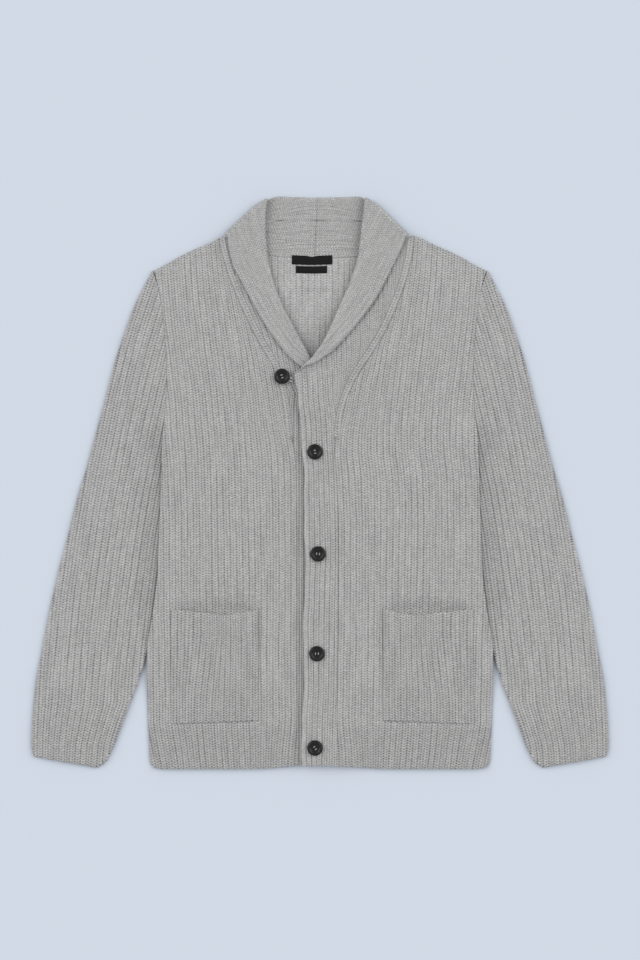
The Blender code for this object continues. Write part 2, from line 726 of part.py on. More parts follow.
def button(name, centre, bottom, material):
    """A turned disc with a dished face and four sewing holes."""
    dish_z = BUTTON_THICKNESS - BUTTON_DISH_DEPTH
    profile = (  # (radius, height), down the outer side and in along the bottom
        (0, dish_z), (BUTTON_DISH_RADIUS - 1.4, dish_z), (BUTTON_DISH_RADIUS, BUTTON_THICKNESS - 0.2),
        (BUTTON_DISH_RADIUS + 1.0, BUTTON_THICKNESS), (BUTTON_RADIUS - 1.2, BUTTON_THICKNESS - 0.4),
        (BUTTON_RADIUS, BUTTON_THICKNESS - 1.6), (BUTTON_RADIUS - 0.8, 0.8), (BUTTON_RADIUS - 3, 0), (0, 0),
    )
    bm = bmesh.new()
    line = [bm.verts.new((r * MM, 0, z * MM)) for r, z in profile]
    for a, b in zip(line, line[1:]):
        bm.edges.new((a, b))
    disc = mesh_object(name, bm, material)
    disc.location = Vector((*centre, bottom)) * MM
    screw = disc.modifiers.new("turn", "SCREW")
    screw.steps = screw.render_steps = 20
    screw.use_merge_vertices = True
    screw.merge_threshold = 0.00005
    screw.use_normal_calculate = True
    for k in range(4):
        angle = math.radians(45 + 90 * k)
        spot = Vector((math.cos(angle), math.sin(angle), 0)) * BUTTON_HOLE_OFFSET * math.sqrt(2)
        hole = cylinder(f"{name}_hole_{k}", BUTTON_HOLE_RADIUS, 3 * BUTTON_THICKNESS)
        hole.location = disc.location + spot * MM
        cut = disc.modifiers.new(f"hole_{k}", "BOOLEAN")
        cut.operation, cut.object = "DIFFERENCE", hole
    return disc


def cylinder(name, radius, depth):
    bm = bmesh.new()
    bmesh.ops.create_cone(
        bm, cap_ends=True, segments=6, radius1=radius * MM, radius2=radius * MM, depth=depth * MM)
    mesh = bpy.data.meshes.new(name)
    bm.to_mesh(mesh)
    bm.free()
    obj = bpy.data.objects.new(name, mesh)
    obj.hide_render = True
    obj.display_type = "WIRE"
    CUTTERS.objects.link(obj)
    return obj


def button_loop(name, material):
    """A cord loop sewn to the corner of the left band's edge, round the top button's shank."""
    x, y = TOP_BUTTON
    low = right_level(x, y) + HALF_WALL + RIB_HEIGHT + SEAT_GAP + LOOP_RADIUS
    corner_x, corner_y = LEFT_COLLAR[0][2:4]
    edge_x = corner_x - ROLL - SEAM_GAP - LOOP_RADIUS
    edge_z = left_level(corner_x, corner_y) - 0.4
    half = LOOP_WIDTH / 2
    down = ((0, edge_z), (-1.4, edge_z - 1.5), (-3.4, low + 1.2), (-5.6, low + 0.2), (-8, low))

    def strand(start_y, end_y):
        return [(edge_x + dx, mix(start_y, end_y, i / 4), z) for i, (dx, z) in enumerate(down)]

    route = strand(corner_y - 1, y + half - 0.6)
    for k in range(7):
        angle = math.pi / 2 + math.pi * k / 6
        route.append((x - 1 + half * math.cos(angle), y + half * math.sin(angle), low))
    route += strand(corner_y - 5.4, y - half + 0.2)[::-1]
    curve = bpy.data.curves.new(name, "CURVE")
    curve.dimensions = "3D"
    curve.bevel_depth = LOOP_RADIUS * MM
    curve.bevel_resolution = 1
    curve.use_fill_caps = True
    curve.resolution_u = 1
    spline = curve.splines.new("POLY")
    spline.points.add(len(route) - 1)
    for point, spot in zip(spline.points, route):
        point.co = (*(Vector(spot) * MM), 1)
    curve.materials.append(material)
    obj = bpy.data.objects.new(name, curve)
    PARTS.objects.link(obj)
    return obj


def label(name, x_range, y_range, material):
    """A strip of woven tape on the inside of the back neck."""
    bm = bmesh.new()
    bmesh.ops.create_cube(bm, size=1)
    x0, x1 = x_range
    y0, y1 = y_range
    middle = Vector(((x0 + x1) / 2, (y0 + y1) / 2, NECK_LEVEL + HALF_WALL + SEAT_GAP + LABEL_THICKNESS / 2))
    for vertex in bm.verts:
        size = Vector((x1 - x0, y1 - y0, LABEL_THICKNESS))
        vertex.co = (middle + vertex.co * size) * MM
    return mesh_object(name, bm, material)


# Materials

def make_material(name, colour, roughness):
    material = bpy.data.materials.new(name)
    material.use_nodes = True
    surface = material.node_tree.nodes["Principled BSDF"]
    surface.inputs["Base Color"].default_value = (*colour, 1)
    surface.inputs["Roughness"].default_value = roughness
    surface.inputs["Metallic"].default_value = 0
    material.diffuse_color = (*colour, 1)
    return material


def make_collection(name):
    collection = bpy.data.collections.new(name)
    bpy.context.scene.collection.children.link(collection)
    return collection


for old in list(bpy.data.objects):
    bpy.data.objects.remove(old)
PARTS = make_collection("shawl_collar_cardigan")
CUTTERS = make_collection("cutters")


def main():
    wool = make_material("grey_melange_wool", (0.42, 0.42, 0.42), 0.95)
    horn = make_material("black_button", (0.02, 0.02, 0.022), 0.35)
    tape = make_material("black_woven_tape", (0.012, 0.012, 0.013), 0.6)

    left_sections = band_sections(LEFT_BAND, LEFT_COLLAR, left_level, 1)
    right_sections = band_sections(RIGHT_BAND, RIGHT_COLLAR, right_level, -1)
    collar_strip("band_collar_left", left_sections, wool)
    collar_strip("band_collar_right", right_sections, wool)

    body_rows = [(y - HEM_Y) / (ROW_HEIGHTS[-1] - HEM_Y) for y in ROW_HEIGHTS]
    front_width = half_width(HEM_Y) - BAND_INSET
    front_columns = [1 - inset / front_width for inset in reversed(COLUMN_INSETS)]
    front_columns = [0, *front_columns]
    left_seam = [(s.seam.y, s.seam.x) for s in left_sections if s.turn == 0]
    right_seam = [(s.seam.y, -s.seam.x) for s in right_sections if s.turn == 0]
    for name, side, seam, level in (
        ("front_left", 1, left_seam, left_level), ("front_right", -1, right_seam, right_level),
    ):
        knit_panel(name, front_place(side, seam), level, FRONT_RIBS, body_rows, front_columns, wool)

    neck = [(s.seam.x, s.seam.y) for s in [*right_sections, *reversed(left_sections)] if s.behind()]
    half = [inset / (2 * half_width(HEM_Y)) for inset in COLUMN_INSETS]
    back_columns = [*half, 0.5, *(1 - share for share in reversed(half))]
    place = back_place(neck)
    knit_panel("back", place, back_level, BACK_RIM_STEPS, body_rows, back_columns, wool, plain=True)

    sleeve("sleeve_left", 1, wool)
    sleeve("sleeve_right", -1, wool)
    pocket("pocket_left", LEFT_POCKET, left_level, wool)
    pocket("pocket_right", RIGHT_POCKET, right_level, wool)

    seat = HALF_WALL + RIB_HEIGHT + SEAT_GAP
    for k, (x, y) in enumerate(BAND_BUTTONS, start=2):
        button(f"button_{k}", (x, y), left_level(x, y) + seat, horn)
    button("button_1", TOP_BUTTON, right_level(*TOP_BUTTON) + seat + 2 * LOOP_RADIUS + SEAT_GAP, horn)
    button_loop("button_loop", wool)
    label("label_main", *MAIN_LABEL, tape)
    label("label_size", *SIZE_LABEL, tape)


main()
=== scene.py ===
# A light grey shawl collar cardigan in heavy rib wool, buttoned and laid flat on its back.
# Every shape is worked out in millimetres. x runs towards the wearer's left, y up to the collar.
import math

import bmesh
import bpy
import numpy as np
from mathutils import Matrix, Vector


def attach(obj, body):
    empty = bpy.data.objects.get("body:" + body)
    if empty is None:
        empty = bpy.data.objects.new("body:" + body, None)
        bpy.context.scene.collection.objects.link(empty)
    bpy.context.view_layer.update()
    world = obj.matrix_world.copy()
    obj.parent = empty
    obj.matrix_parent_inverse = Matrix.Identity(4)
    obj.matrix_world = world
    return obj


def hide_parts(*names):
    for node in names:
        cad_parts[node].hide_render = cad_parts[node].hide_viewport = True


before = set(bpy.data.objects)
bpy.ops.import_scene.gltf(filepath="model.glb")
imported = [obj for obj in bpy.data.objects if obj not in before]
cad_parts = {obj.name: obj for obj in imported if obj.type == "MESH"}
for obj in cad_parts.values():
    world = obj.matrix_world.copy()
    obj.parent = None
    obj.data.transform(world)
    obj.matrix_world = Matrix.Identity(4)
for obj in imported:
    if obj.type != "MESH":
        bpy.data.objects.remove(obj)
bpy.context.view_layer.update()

unit = 0.001  # millimetres to metres

cloth = {
    "halfWall": 1.2,
    "layerStep": 4.8,  # centre to centre of two layers that lie on each other
    "ribHeight": 1.0,
    "ribFullness": 0.6,  # the less, the fuller
    "valley": (0.3, 0.11),  # between the two legs of a rib: depth, half width as a share of the rib
    "sway": (  # waves in the ribs' lines: size as a share of a rib, share of x, share of y, start
        (0.05, 0.043, 0.017, 0), (0.035, -0.021, 0.034, 1.3), (0.02, 0.061, 0.083, 0.4)),
    "stitch": 3.4,  # height of one knit stitch
    "ribPitch": (  # height, width of a rib
        (-377, 7.45), (-318, 7.85), (-200, 7.9), (-100, 8.0), (0, 8.05), (100, 7.95), (300, 7.9)),
    "seamGap": 0.1,
    "restGap": 0.5,  # between two layers that rest on each other
    "loft": 3.2,  # how much further apart front and back are in the middle
    "hemLoft": 0.25,  # share of it at the hem
    "loftFrom": {  # distances from each edge where the front is down, and is up
        "side": (1, 34), "shoulder": (4, 60), "fall": (80, 20), "hem": (0, 52)},
    "edgeRadius": 2.2,  # of a knitted edge
    "edgeSteps": (0, 0.3, 0.8, 1.5, 2.3),  # distances of the closest rows and columns from an edge
    "evenFrom": 3,
    "sewnSharpness": 3.0,  # how much tighter a sewn edge is rounded, and from how far in
    "sewnStart": 1.1,
}
wall = 2 * cloth["halfWall"]


# Curves through tables

def smooth(start, end, value):
    t = np.clip((value - start) / (end - start), 0, 1)
    return t * t * (3 - 2 * t)


def curve(table, at, column=1, level=False):  # level: no overshoot between equal values
    rows = np.array(table, float)
    place, value = rows[:, 0], rows[:, column]
    at = np.clip(at, place[0], place[-1])
    k = np.clip(np.searchsorted(place, at, side="right") - 1, 0, len(place) - 2)
    run, rise = np.diff(place), np.diff(value)
    slope = np.empty(len(place))
    slope[0], slope[-1] = rise[0] / run[0], rise[-1] / run[-1]
    slope[1:-1] = (value[2:] - value[:-2]) / (place[2:] - place[:-2])
    if level:
        slope[1:-1][rise[1:] * rise[:-1] <= 0] = 0
    t = (at - place[k]) / run[k]
    start, end = slope[k] * run[k], slope[k + 1] * run[k]
    return value[k] + t * (start + t * (3 * rise[k] - 2 * start - end + t * (start + end - 2 * rise[k])))


def line(table, at):
    rows = np.array(table, float)
    return np.interp(at, rows[:, 0], rows[:, 1])


# Where the layers of the body lie

body = {
    "hemY": -377.0,
    "hemRise": 4.0,  # how much higher the hem is in the middle
    "hemMiddle": (90, 20),  # distances from the middle where it starts to rise, and ends
    "hemCorner": 11.0,
    "vStart": 82.0,
    "ribLean": 26.0,  # how far the ribs beside the V lean outwards at the shoulder
    "side": (  # height, half width
        (-377, 223.8), (-352, 225), (-300, 227), (-250, 228), (-214, 227), (-168, 219.5),
        (-129, 214.5), (-76, 212), (-23, 210), (30, 208.5), (69, 206.5), (100, 203.5),
        (127, 202), (165, 202.5), (201, 204.8), (241, 209.8), (262, 214), (279, 219)),
    "shoulder": (  # distance from the middle, height
        (110, 322), (122, 325), (132, 322), (145, 315.5), (157, 310.5), (171, 304.5),
        (185, 297.5), (204, 286.7), (219, 279)),
    "sleeveTuck": (62, 8),  # distances from the side where it starts to lie on the sleeve, and does
    "tuckFoot": (-300, -222),  # heights where that starts, and where it ends
    "tuckTop": (94, 49),
    "onSleeve": 6.6,  # how much higher it lies there
    "lap": ((64, 24), (250, 190)),  # x and y between which the left front climbs onto the right band
    "crossing": ((70, 28), (70, 108), (230, 178)),  # and once more, where the collar's halves cross
}
neck = {
    "backX": -4.6,  # the seam at the centre back
    "fallY": 253,  # lower edge of the collar's fall there
    "fallRise": 69,  # how much higher that edge is at the shoulders, and the power of its curve
    "fallPower": 2.4,
    "halfWidth": 116,
    "ontoFall": (110, 4),  # distances below that edge where the back starts to lie on the fall, and does
    "backLevel": 5.4,
    "gap": 1.0,
}
# Soft ridges and troughs: from x, y to x, y, half width, height
frontFolds = (
    (-150, 60, -120, -60, 26, 0.9), (-70, 20, -60, -110, 20, 0.8), (-190, 190, -150, 120, 18, 0.8),
    (-175, -20, -185, -120, 16, -0.35), (-110, 150, -150, 60, 16, -0.3), (-60, -200, -70, -300, 18, 0.7),
    (165, 80, 120, -20, 24, 0.9), (70, 30, 76, -90, 20, 0.8), (185, 200, 160, 130, 18, 0.8),
    (180, 10, 190, -90, 16, -0.35), (120, 170, 150, 70, 16, -0.3), (56, -180, 62, -290, 16, 0.7),
    (-150, -330, -90, -345, 14, 0.6), (120, -335, 180, -328, 14, 0.6), (-200, 40, -160, 10, 12, 0.6),
    (198, 60, 160, 34, 12, 0.6), (-150, -166, -80, -163, 13, -3.4), (78, -164, 206, -168, 12, -3.2))


def relief(folds, x, y):
    total = np.zeros(np.broadcast(x, y).shape)
    for x0, y0, x1, y1, width, height in folds:
        runX, runY = x1 - x0, y1 - y0
        t = ((x - x0) * runX + (y - y0) * runY) / (runX**2 + runY**2)
        held = np.clip(t, 0, 1)
        away = np.hypot(x - x0 - held * runX, y - y0 - held * runY)
        total += height * np.exp(-(away / width) ** 2) * (1 - np.abs(2 * held - 1) ** 3)
    return total


def halfWidth(y):
    return curve(body["side"], y)


def shoulderY(x):
    return curve(body["shoulder"], np.abs(x))


def fallEdgeY(x):  # lower edge of the collar where it lies under the back
    share = np.abs((x - neck["backX"]) / neck["halfWidth"])
    return neck["fallY"] + neck["fallRise"] * share ** neck["fallPower"]


def backLevel(x, y):
    edge = fallEdgeY(x)
    start, end = neck["ontoFall"]
    onFall = smooth(edge - start, edge - end, y)
    onSleeve = smooth(*body["sleeveTuck"], halfWidth(y) - np.abs(x))
    onSleeve = onSleeve * smooth(*body["tuckTop"], y) * smooth(*body["tuckFoot"], y)
    return cloth["halfWall"] + (neck["backLevel"] - cloth["halfWall"]) * onFall + body["onSleeve"] * onSleeve


def frontGap(x, y):
    near = cloth["loftFrom"]
    edge = fallEdgeY(x)
    side = smooth(*near["side"], halfWidth(y) - np.abs(x))
    under = smooth(*near["shoulder"], shoulderY(x) - y)
    nearNeck = smooth(edge - near["fall"][0], edge - near["fall"][1], y)
    rest = cloth["restGap"] + (neck["gap"] - cloth["restGap"]) * np.minimum(1, side + nearNeck)
    atHem = cloth["hemLoft"] + (1 - cloth["hemLoft"]) * smooth(*near["hem"], y - body["hemY"])
    return rest + (cloth["loft"] * atHem + relief(frontFolds, x, y)) * side * under * (1 - nearNeck)


def rightLevel(x, y):
    return backLevel(x, y) + wall + frontGap(x, y)


def leftLevel(x, y):
    lapX, lapY = body["lap"]
    crossX, crossFoot, crossTop = body["crossing"]
    lap = smooth(*lapX, x) * smooth(*lapY, y)
    crossing = smooth(*crossX, x) * smooth(*crossFoot, y) * smooth(*crossTop, y)
    return rightLevel(x, y) + cloth["layerStep"] * (lap + crossing)


# Ribs

def ribShape(phase):  # one rib from groove to groove, with a shallow valley between its two legs
    p = np.mod(phase, 1)
    depth, width = cloth["valley"]
    return np.sin(np.pi * p) ** cloth["ribFullness"] - depth * np.exp(-((p - 0.5) / width) ** 2)


def sway(x, y, size=1.0):  # hand-knit unevenness of the ribs' lines
    return size * sum(height * np.sin(x * overX + y * overY + start)
                      for height, overX, overY, start in cloth["sway"])


def sewnDistance(distance):
    return distance * cloth["sewnSharpness"] + cloth["sewnStart"]


# Distance from the nearest border, measured along the cloth
def fromBorder(spots, ring=False, sewn=()):  # borders by name: firstRow, lastRow, firstColumn, lastColumn
    found = []
    borders = (("firstRow", "lastRow"), ("firstColumn", "lastColumn"))
    for axis, names in enumerate(borders[:1 if ring else 2]):
        step = np.linalg.norm(np.diff(spots, axis=axis), axis=2)
        run = np.insert(np.cumsum(step, axis=axis), 0, 0, axis=axis)
        ends = (run, np.take(run, [-1], axis=axis) - run)
        found += [sewnDistance(end) if name in sewn else end for name, end in zip(names, ends)]
    return np.minimum.reduce(found)


def rounded(distance, least=0.4):
    t = np.clip(distance / cloth["edgeRadius"], 0, 1)
    return least + (1 - least) * np.sqrt(1 - (1 - t) ** 2)


def shares(count, length):  # 0 to 1 in even steps, with closer ones at the ends
    even = np.linspace(0, 1, count + 1)
    ends = np.array(cloth["edgeSteps"]) / length
    inside = cloth["evenFrom"] / length
    return np.concatenate([ends, even[(even > inside) & (even < 1 - inside)], 1 - ends[::-1]])


# Meshes

# upper and lower are grids of points. thin says which rows and columns of lower are kept: 4 is every fourth
def clothObject(name, upper, lower, knitUpper, knitLower, material, thin, ring=False):
    rows, columns = upper.shape[:2]

    def kept(count, step):
        return sorted({*range(0, count, step), 0, count - 1} | ({1, count - 2} if step > 1 else set()))

    keptRows = kept(rows, thin[0])
    keptColumns = kept(columns, thin[1]) if not ring else list(range(0, columns, thin[1]))
    lower = lower[keptRows][:, keptColumns]
    knitLower = knitLower[keptRows][:, keptColumns]
    top = np.arange(rows * columns).reshape(rows, columns)
    low = rows * columns + np.arange(len(keptRows) * len(keptColumns)).reshape(len(keptRows), -1)
    faces = []
    for grid in (top, low):
        if ring:
            grid = np.concatenate([grid, grid[:, :1]], axis=1)
        quads = np.stack([grid[:-1, :-1], grid[:-1, 1:], grid[1:, 1:], grid[1:, :-1]], axis=-1)
        faces += quads.reshape(-1, 4).tolist()

    def rim(fine, coarse, places):
        for k in range(len(places) - 1):
            faces.append([*fine[places[k]:places[k + 1] + 1], coarse[k + 1], coarse[k]])

    for row in (0, -1):
        if ring:
            rim([*top[row], top[row][0]], [*low[row], low[row][0]], [*keptColumns, columns])
        else:
            rim(top[row], low[row], keptColumns)
            rim(top[:, row], low[:, row], keptRows)
    points = np.concatenate([upper.reshape(-1, 3), lower.reshape(-1, 3)]) * unit
    mesh = bpy.data.meshes.new(name)
    mesh.from_pydata(points.tolist(), [], faces)
    knit = mesh.attributes.new("knit", "FLOAT_VECTOR", "POINT")
    knits = np.concatenate([knitUpper.reshape(-1, 3), knitLower.reshape(-1, 3)])
    knit.data.foreach_set("vector", knits.ravel())
    bm = bmesh.new()
    bm.from_mesh(mesh)
    bmesh.ops.recalc_face_normals(bm, faces=bm.faces)
    bm.to_mesh(mesh)
    bm.free()
    mesh.shade_smooth()
    return addObject(name, mesh, material)


def addObject(name, data, material):
    data.materials.append(material)
    obj = bpy.data.objects.new(name, data)
    bpy.context.scene.collection.objects.link(obj)
    return obj


# up and down are the ribs' heights on its two faces, and slim is its share of the full thickness. Where it
# is slim it comes down by settles half walls. calm goes into the knit's third value: the wool gets painted
# shade where that is low, and its stitches are drawn softly where it is over 1
def panel(name, x, y, level, phase, up, down, thin, sewn=(), calm=0, slim=1, settles=0):
    spots = np.stack([x, y], axis=-1)
    edge = rounded(fromBorder(spots, sewn=sewn)) * slim
    middle = level(x, y) - (1 - slim) * cloth["halfWall"] * settles
    crest = ribShape(phase)
    upper = middle + (cloth["halfWall"] + crest * up) * edge
    lower = middle - (cloth["halfWall"] - (1 - crest) * down) * edge
    knit = np.stack([phase, y / cloth["stitch"], np.broadcast_to(crest + calm, x.shape)], axis=-1)
    return clothObject(name, np.dstack([x, y, upper]), np.dstack([x, y, lower]), knit, knit, ribKnit, thin)


def paintShadeAndTone(piece, share):  # share(x, y) is how much painted shade and darker tone the wool gets
    spots = np.empty(3 * len(piece.data.vertices))
    piece.data.vertices.foreach_get("co", spots)
    x, y = spots.reshape(-1, 3)[:, :2].T / unit
    shadeValues = piece.data.attributes.new("shadeAndTone", "FLOAT", "POINT")
    shadeValues.data.foreach_set("value", np.broadcast_to(share(x, y), x.shape))


def cardiganPiece(piece, node):
    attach(piece, "root")
    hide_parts(node)


# Materials

def linear(code):  # sRGB hex to linear
    parts = [int(code[i:i + 2], 16) / 255 for i in (1, 3, 5)]
    return (*(c / 12.92 if c <= 0.04045 else ((c + 0.055) / 1.055) ** 2.4 for c in parts), 1)


def connect(tree, node, inputs):  # inputs by name or number, or in the order of the sockets
    for key, value in inputs.items() if isinstance(inputs, dict) else enumerate(inputs):
        if isinstance(value, bpy.types.NodeSocket):
            tree.links.new(value, node.inputs[key])
        else:
            node.inputs[key].default_value = value


def addNode(tree, kind, inputs=(), **settings):
    node = tree.nodes.new("ShaderNode" + kind)
    for key, value in settings.items():
        setattr(node, key, value)
    connect(tree, node, inputs)
    return node.outputs


def newMaterial(name):
    material = bpy.data.materials.new(name)
    material.use_nodes = True
    tree = material.node_tree
    return material, tree, tree.nodes["Principled BSDF"]


wool = {
    "base": "#bdbdbc",
    "light": "#dadad9",
    "dark": "#a2a2a2",
    # colour of the painted shade in holes, grooves and pressed-in cloth
    "groove": "#3a3a3a",
    "fleck": 0.9,  # mm, length of the light and dark fibres in the melange yarn
    "patch": 5.556,  # mm, size of the places where rows run a little higher or lower
    "slant": 0.55,  # how many rows the V of a stitch is deep
    "holes": 0.84,  # how much painted shade the holes between two ribs get
    "joins": 0.3,  # and the joins of two stitches on a rib
    "lines": 0.14,  # and the grooves all along
    "sunk": 0.5,  # and cloth that is pressed in
    "shadeAndTone": 0.1,  # how much darker the wool is drawn by its painted shade and tone value
    "streaks": 0.15,  # difference in tone from rib to rib
    "roughness": 0.92,
}


# Lambswool rib knit from melange yarn: soft and matt, with light and dark fibres spun together, a V of
# stitches on each rib and small holes, one above the other, between the ribs, with painted shade in holes
# and grooves
def lambswoolRib():
    material, tree, surface = newMaterial("lambswoolRibKnit")
    knit = addNode(tree, "Attribute", attribute_name="knit")["Vector"]
    phase, rows, crest = addNode(tree, "SeparateXYZ", (knit,))
    place = addNode(tree, "TexCoord")["Object"]

    # Place in the stitch: fromMiddle is 0 between a rib's two legs and 1 between two ribs
    across = addNode(tree, "Math", (phase,), operation="FRACT")[0]
    offCentre = addNode(tree, "Math", (across, 0.5), operation="SUBTRACT")[0]
    halfWay = addNode(tree, "Math", (offCentre,), operation="ABSOLUTE")[0]
    fromMiddle = addNode(tree, "Math", (halfWay, 2.0), operation="MULTIPLY")[0]
    uneven = addNode(tree, "TexNoise", {"Vector": place, "Scale": 1000 / wool["patch"], "Detail": 1.0})[0]
    ribNumber = addNode(tree, "Math", (phase,), operation="FLOOR")[0]
    stagger = addNode(tree, "TexWhiteNoise", {"W": ribNumber}, noise_dimensions="1D")["Value"]
    ribShift = addNode(tree, "Math", (stagger, 0.35), operation="MULTIPLY")[0]
    shift = addNode(tree, "Math", (uneven, 0.4, ribShift), operation="MULTIPLY_ADD")[0]
    shifted = addNode(tree, "Math", (rows, shift), operation="ADD")[0]
    slanted = addNode(tree, "Math", (fromMiddle, -wool["slant"], shifted), operation="MULTIPLY_ADD")[0]

    # bead is 1 in the middle of a stitch, leg in the middle of each leg, and pad in both
    inStitch = addNode(tree, "Math", (slanted,), operation="FRACT")[0]
    stitchTurn = addNode(tree, "Math", (inStitch, math.pi), operation="MULTIPLY")[0]
    bead = addNode(tree, "Math", (stitchTurn,), operation="SINE")[0]
    inLeg = addNode(tree, "Math", (fromMiddle, 0.96, 0.04), operation="MULTIPLY_ADD")[0]
    legTurn = addNode(tree, "Math", (inLeg, math.pi), operation="MULTIPLY")[0]
    legSine = addNode(tree, "Math", (legTurn,), operation="SINE")[0]
    leg = addNode(tree, "Math", (legSine,), operation="SQRT")[0]
    beadRoot = addNode(tree, "Math", (bead,), operation="SQRT")[0]
    pad = addNode(tree, "Math", (beadRoot, leg), operation="MULTIPLY")[0]

    # Melange: fibres, a little drift from stitch to stitch, and streaks half a rib wide along the ribs
    legCount = addNode(tree, "Math", (phase, 2.0), operation="MULTIPLY")[0]
    legNumber = addNode(tree, "Math", (legCount,), operation="FLOOR")[0]
    rowNumber = addNode(tree, "Math", (slanted,), operation="FLOOR")[0]
    stitchNumber = addNode(tree, "CombineXYZ", (legNumber, rowNumber))[0]
    drift = addNode(tree, "TexWhiteNoise", {"Vector": stitchNumber}, noise_dimensions="2D")["Value"]
    fibre = addNode(tree, "TexNoise", {
        "Vector": place, "Scale": 1000 / wool["fleck"], "Detail": 2.0, "Roughness": 0.7})[0]
    longRows = addNode(tree, "Math", (rows, 0.03), operation="MULTIPLY")[0]
    stretch = addNode(tree, "CombineXYZ", (phase, longRows))[0]
    tone = addNode(tree, "TexNoise", {"Vector": stretch, "Scale": 2.1, "Detail": 1.0},
                   noise_dimensions="2D")[0]
    driftPart = addNode(tree, "Math", (drift, 0.07), operation="MULTIPLY")[0]
    yarn = addNode(tree, "Math", (fibre, 0.93, driftPart), operation="MULTIPLY_ADD")[0]
    evenTone = addNode(tree, "Math", (tone, 0.5), operation="SUBTRACT")[0]
    mix = addNode(tree, "Math", (evenTone, wool["streaks"], yarn), operation="MULTIPLY_ADD")[0]
    ramp = addNode(tree, "ValToRGB", (mix,))[0]
    stops = ramp.node.color_ramp.elements
    stops[0].position, stops[0].color = 0.36, linear(wool["dark"])
    stops[1].position, stops[1].color = 0.66, linear(wool["light"])
    stops.new(0.5).color = linear(wool["base"])

    # Painted shade: in the holes and grooves between the ribs, on cloth that is pressed in, and where the
    # shade and tone value asks for it
    strength = addNode(tree, "MapRange", (tone, 0.3, 0.7, 1.22, 0.78))[0]
    offLeg = addNode(tree, "Math", (1.0, leg), operation="SUBTRACT")[0]
    gap = addNode(tree, "Math", (offLeg, strength), operation="MULTIPLY")[0]
    hollow = addNode(tree, "Math", (1.0, bead), operation="SUBTRACT")[0]
    holeDepth = addNode(tree, "Math", (gap, wool["holes"], wool["joins"]), operation="MULTIPLY_ADD")[0]
    holes = addNode(tree, "Math", (hollow, holeDepth), operation="MULTIPLY")[0]
    drawn = addNode(tree, "Math", (gap, wool["lines"], holes), operation="MULTIPLY_ADD")[0]
    low = addNode(tree, "MapRange", (crest, -0.6, 0.7, 1.0, 0.0))[0]
    lowSquare = addNode(tree, "Math", (low, low), operation="MULTIPLY")[0]
    withSunk = addNode(tree, "Math", (lowSquare, wool["sunk"], drawn), operation="MULTIPLY_ADD")[0]
    calm = addNode(tree, "MapRange", (crest, 1.0, 2.0, 1.0, 0.25))[0]
    softened = addNode(tree, "Math", (withSunk, calm), operation="MULTIPLY")[0]
    shadeAndTone = addNode(tree, "Attribute", attribute_name="shadeAndTone")["Fac"]
    depth = addNode(tree, "Math", (shadeAndTone, wool["shadeAndTone"], softened), operation="MULTIPLY_ADD")[0]
    colour = addNode(tree, "Mix", {0: depth, 6: ramp, 7: linear(wool["groove"])}, data_type="RGBA")[2]

    height = addNode(tree, "Math", (fibre, 0.35, pad), operation="MULTIPLY_ADD")[0]
    bump = addNode(tree, "Bump", {"Height": height, "Strength": 0.8, "Distance": 0.0007})[0]
    connect(tree, surface, {
        "Base Color": colour, "Normal": bump, "Roughness": wool["roughness"], "Specular IOR Level": 0.25,
        "Sheen Weight": 0.2, "Sheen Roughness": 0.6})
    return material


ribKnit = lambswoolRib()
print("wool ready")


# Button band and shawl collar

band = {
    "rib": 6.7,
    "roll": 2.1,  # radius of the fold along the top of the collar
    "turnHeight": 7.1,  # where the collar turns over at the shoulder, and how tightly
    "turnRadius": 3.8,
    "turnOuter": 6.8,  # the same on the outside, which sets how many rows go round
    "columns": 140,
    "rowLength": 3.0,
    "bandRowLength": 5.0,  # the same on the flat band, where little changes along it
    "rightSide": 1.35,  # rib height on the band
    "fallSide": 0.25,  # share of it on the outside of the fall
    "uprightFrom": (96, 116),  # heights between which the left stand's ribs turn upright
    "uprightLean": 0.06,
    "endReach": 7,  # how far from the V those ribs bend to end along it
    "sway": 0.4,  # share of the body's unevenness
    "edgeRib": 6.2,  # width of the plump rib along the free edge
    "edgeRibHeight": 1.1,
    "plumpness": 1.5,  # height of the one smooth rib along the over band's free edge
    "lift": {1: 1.3, -1: 0.5},  # how far the fall's free edge stands off what it lies on, by side
    "liftReach": 16,
    "fullness": {1: 5.0, -1: 2.6},  # how much higher the soft roll along the fold is
    "fullWidth": {1: 15.0, -1: 11.0},
    "creases": (  # lines on the inside of the back neck: height over the seam, depth, half width
        (49, 1.25, 0.95), (57.5, 0.5, 0.9), (42.5, 0.6, 0.9), (36.5, 0.5, 0.9), (30.5, 0.95, 0.95),
        (22.5, 0.9, 0.95), (16.5, 0.6, 0.9), (10.5, 0.9, 0.95), (4.5, 0.5, 0.9), (65, 0.35, 0.9)),
    "creaseDepth": 0.8,
    "reverseRib": 4.6,  # the two legs of a rib look alike on that side
    "reverse": 0.55,  # rib height on the fall and on the inside of the back neck
    "reverseRow": 1.15,  # rows in one stitch's height there
    "edgeRise": 2.6,  # how far the over band's free edge stands up
    "edgeReach": 8,
    "wave": ((0.9, 0.047, 1.0), (0.5, 0.11, 0.0)),  # how that edge wanders: size, share of y, start
    "waveReach": 14,
    "cornerPress": 0.6,  # how much flatter the turn at the neck's side is at the fold
    "cornerReach": 12,
    "leafSlant": 0.7,  # share of a horizontal distance that lies across the left leaf's edge
    "leafShadeGap": 1.9,  # distance from it of the painted contact shadow on the stand
    "leafShadeDepth": 1.0,
    "leafFoot": (152, 165),  # heights where that line starts, and where it ends
    "leafTop": (290, 270),
}
quarterRoll = band["roll"] * math.pi / 2
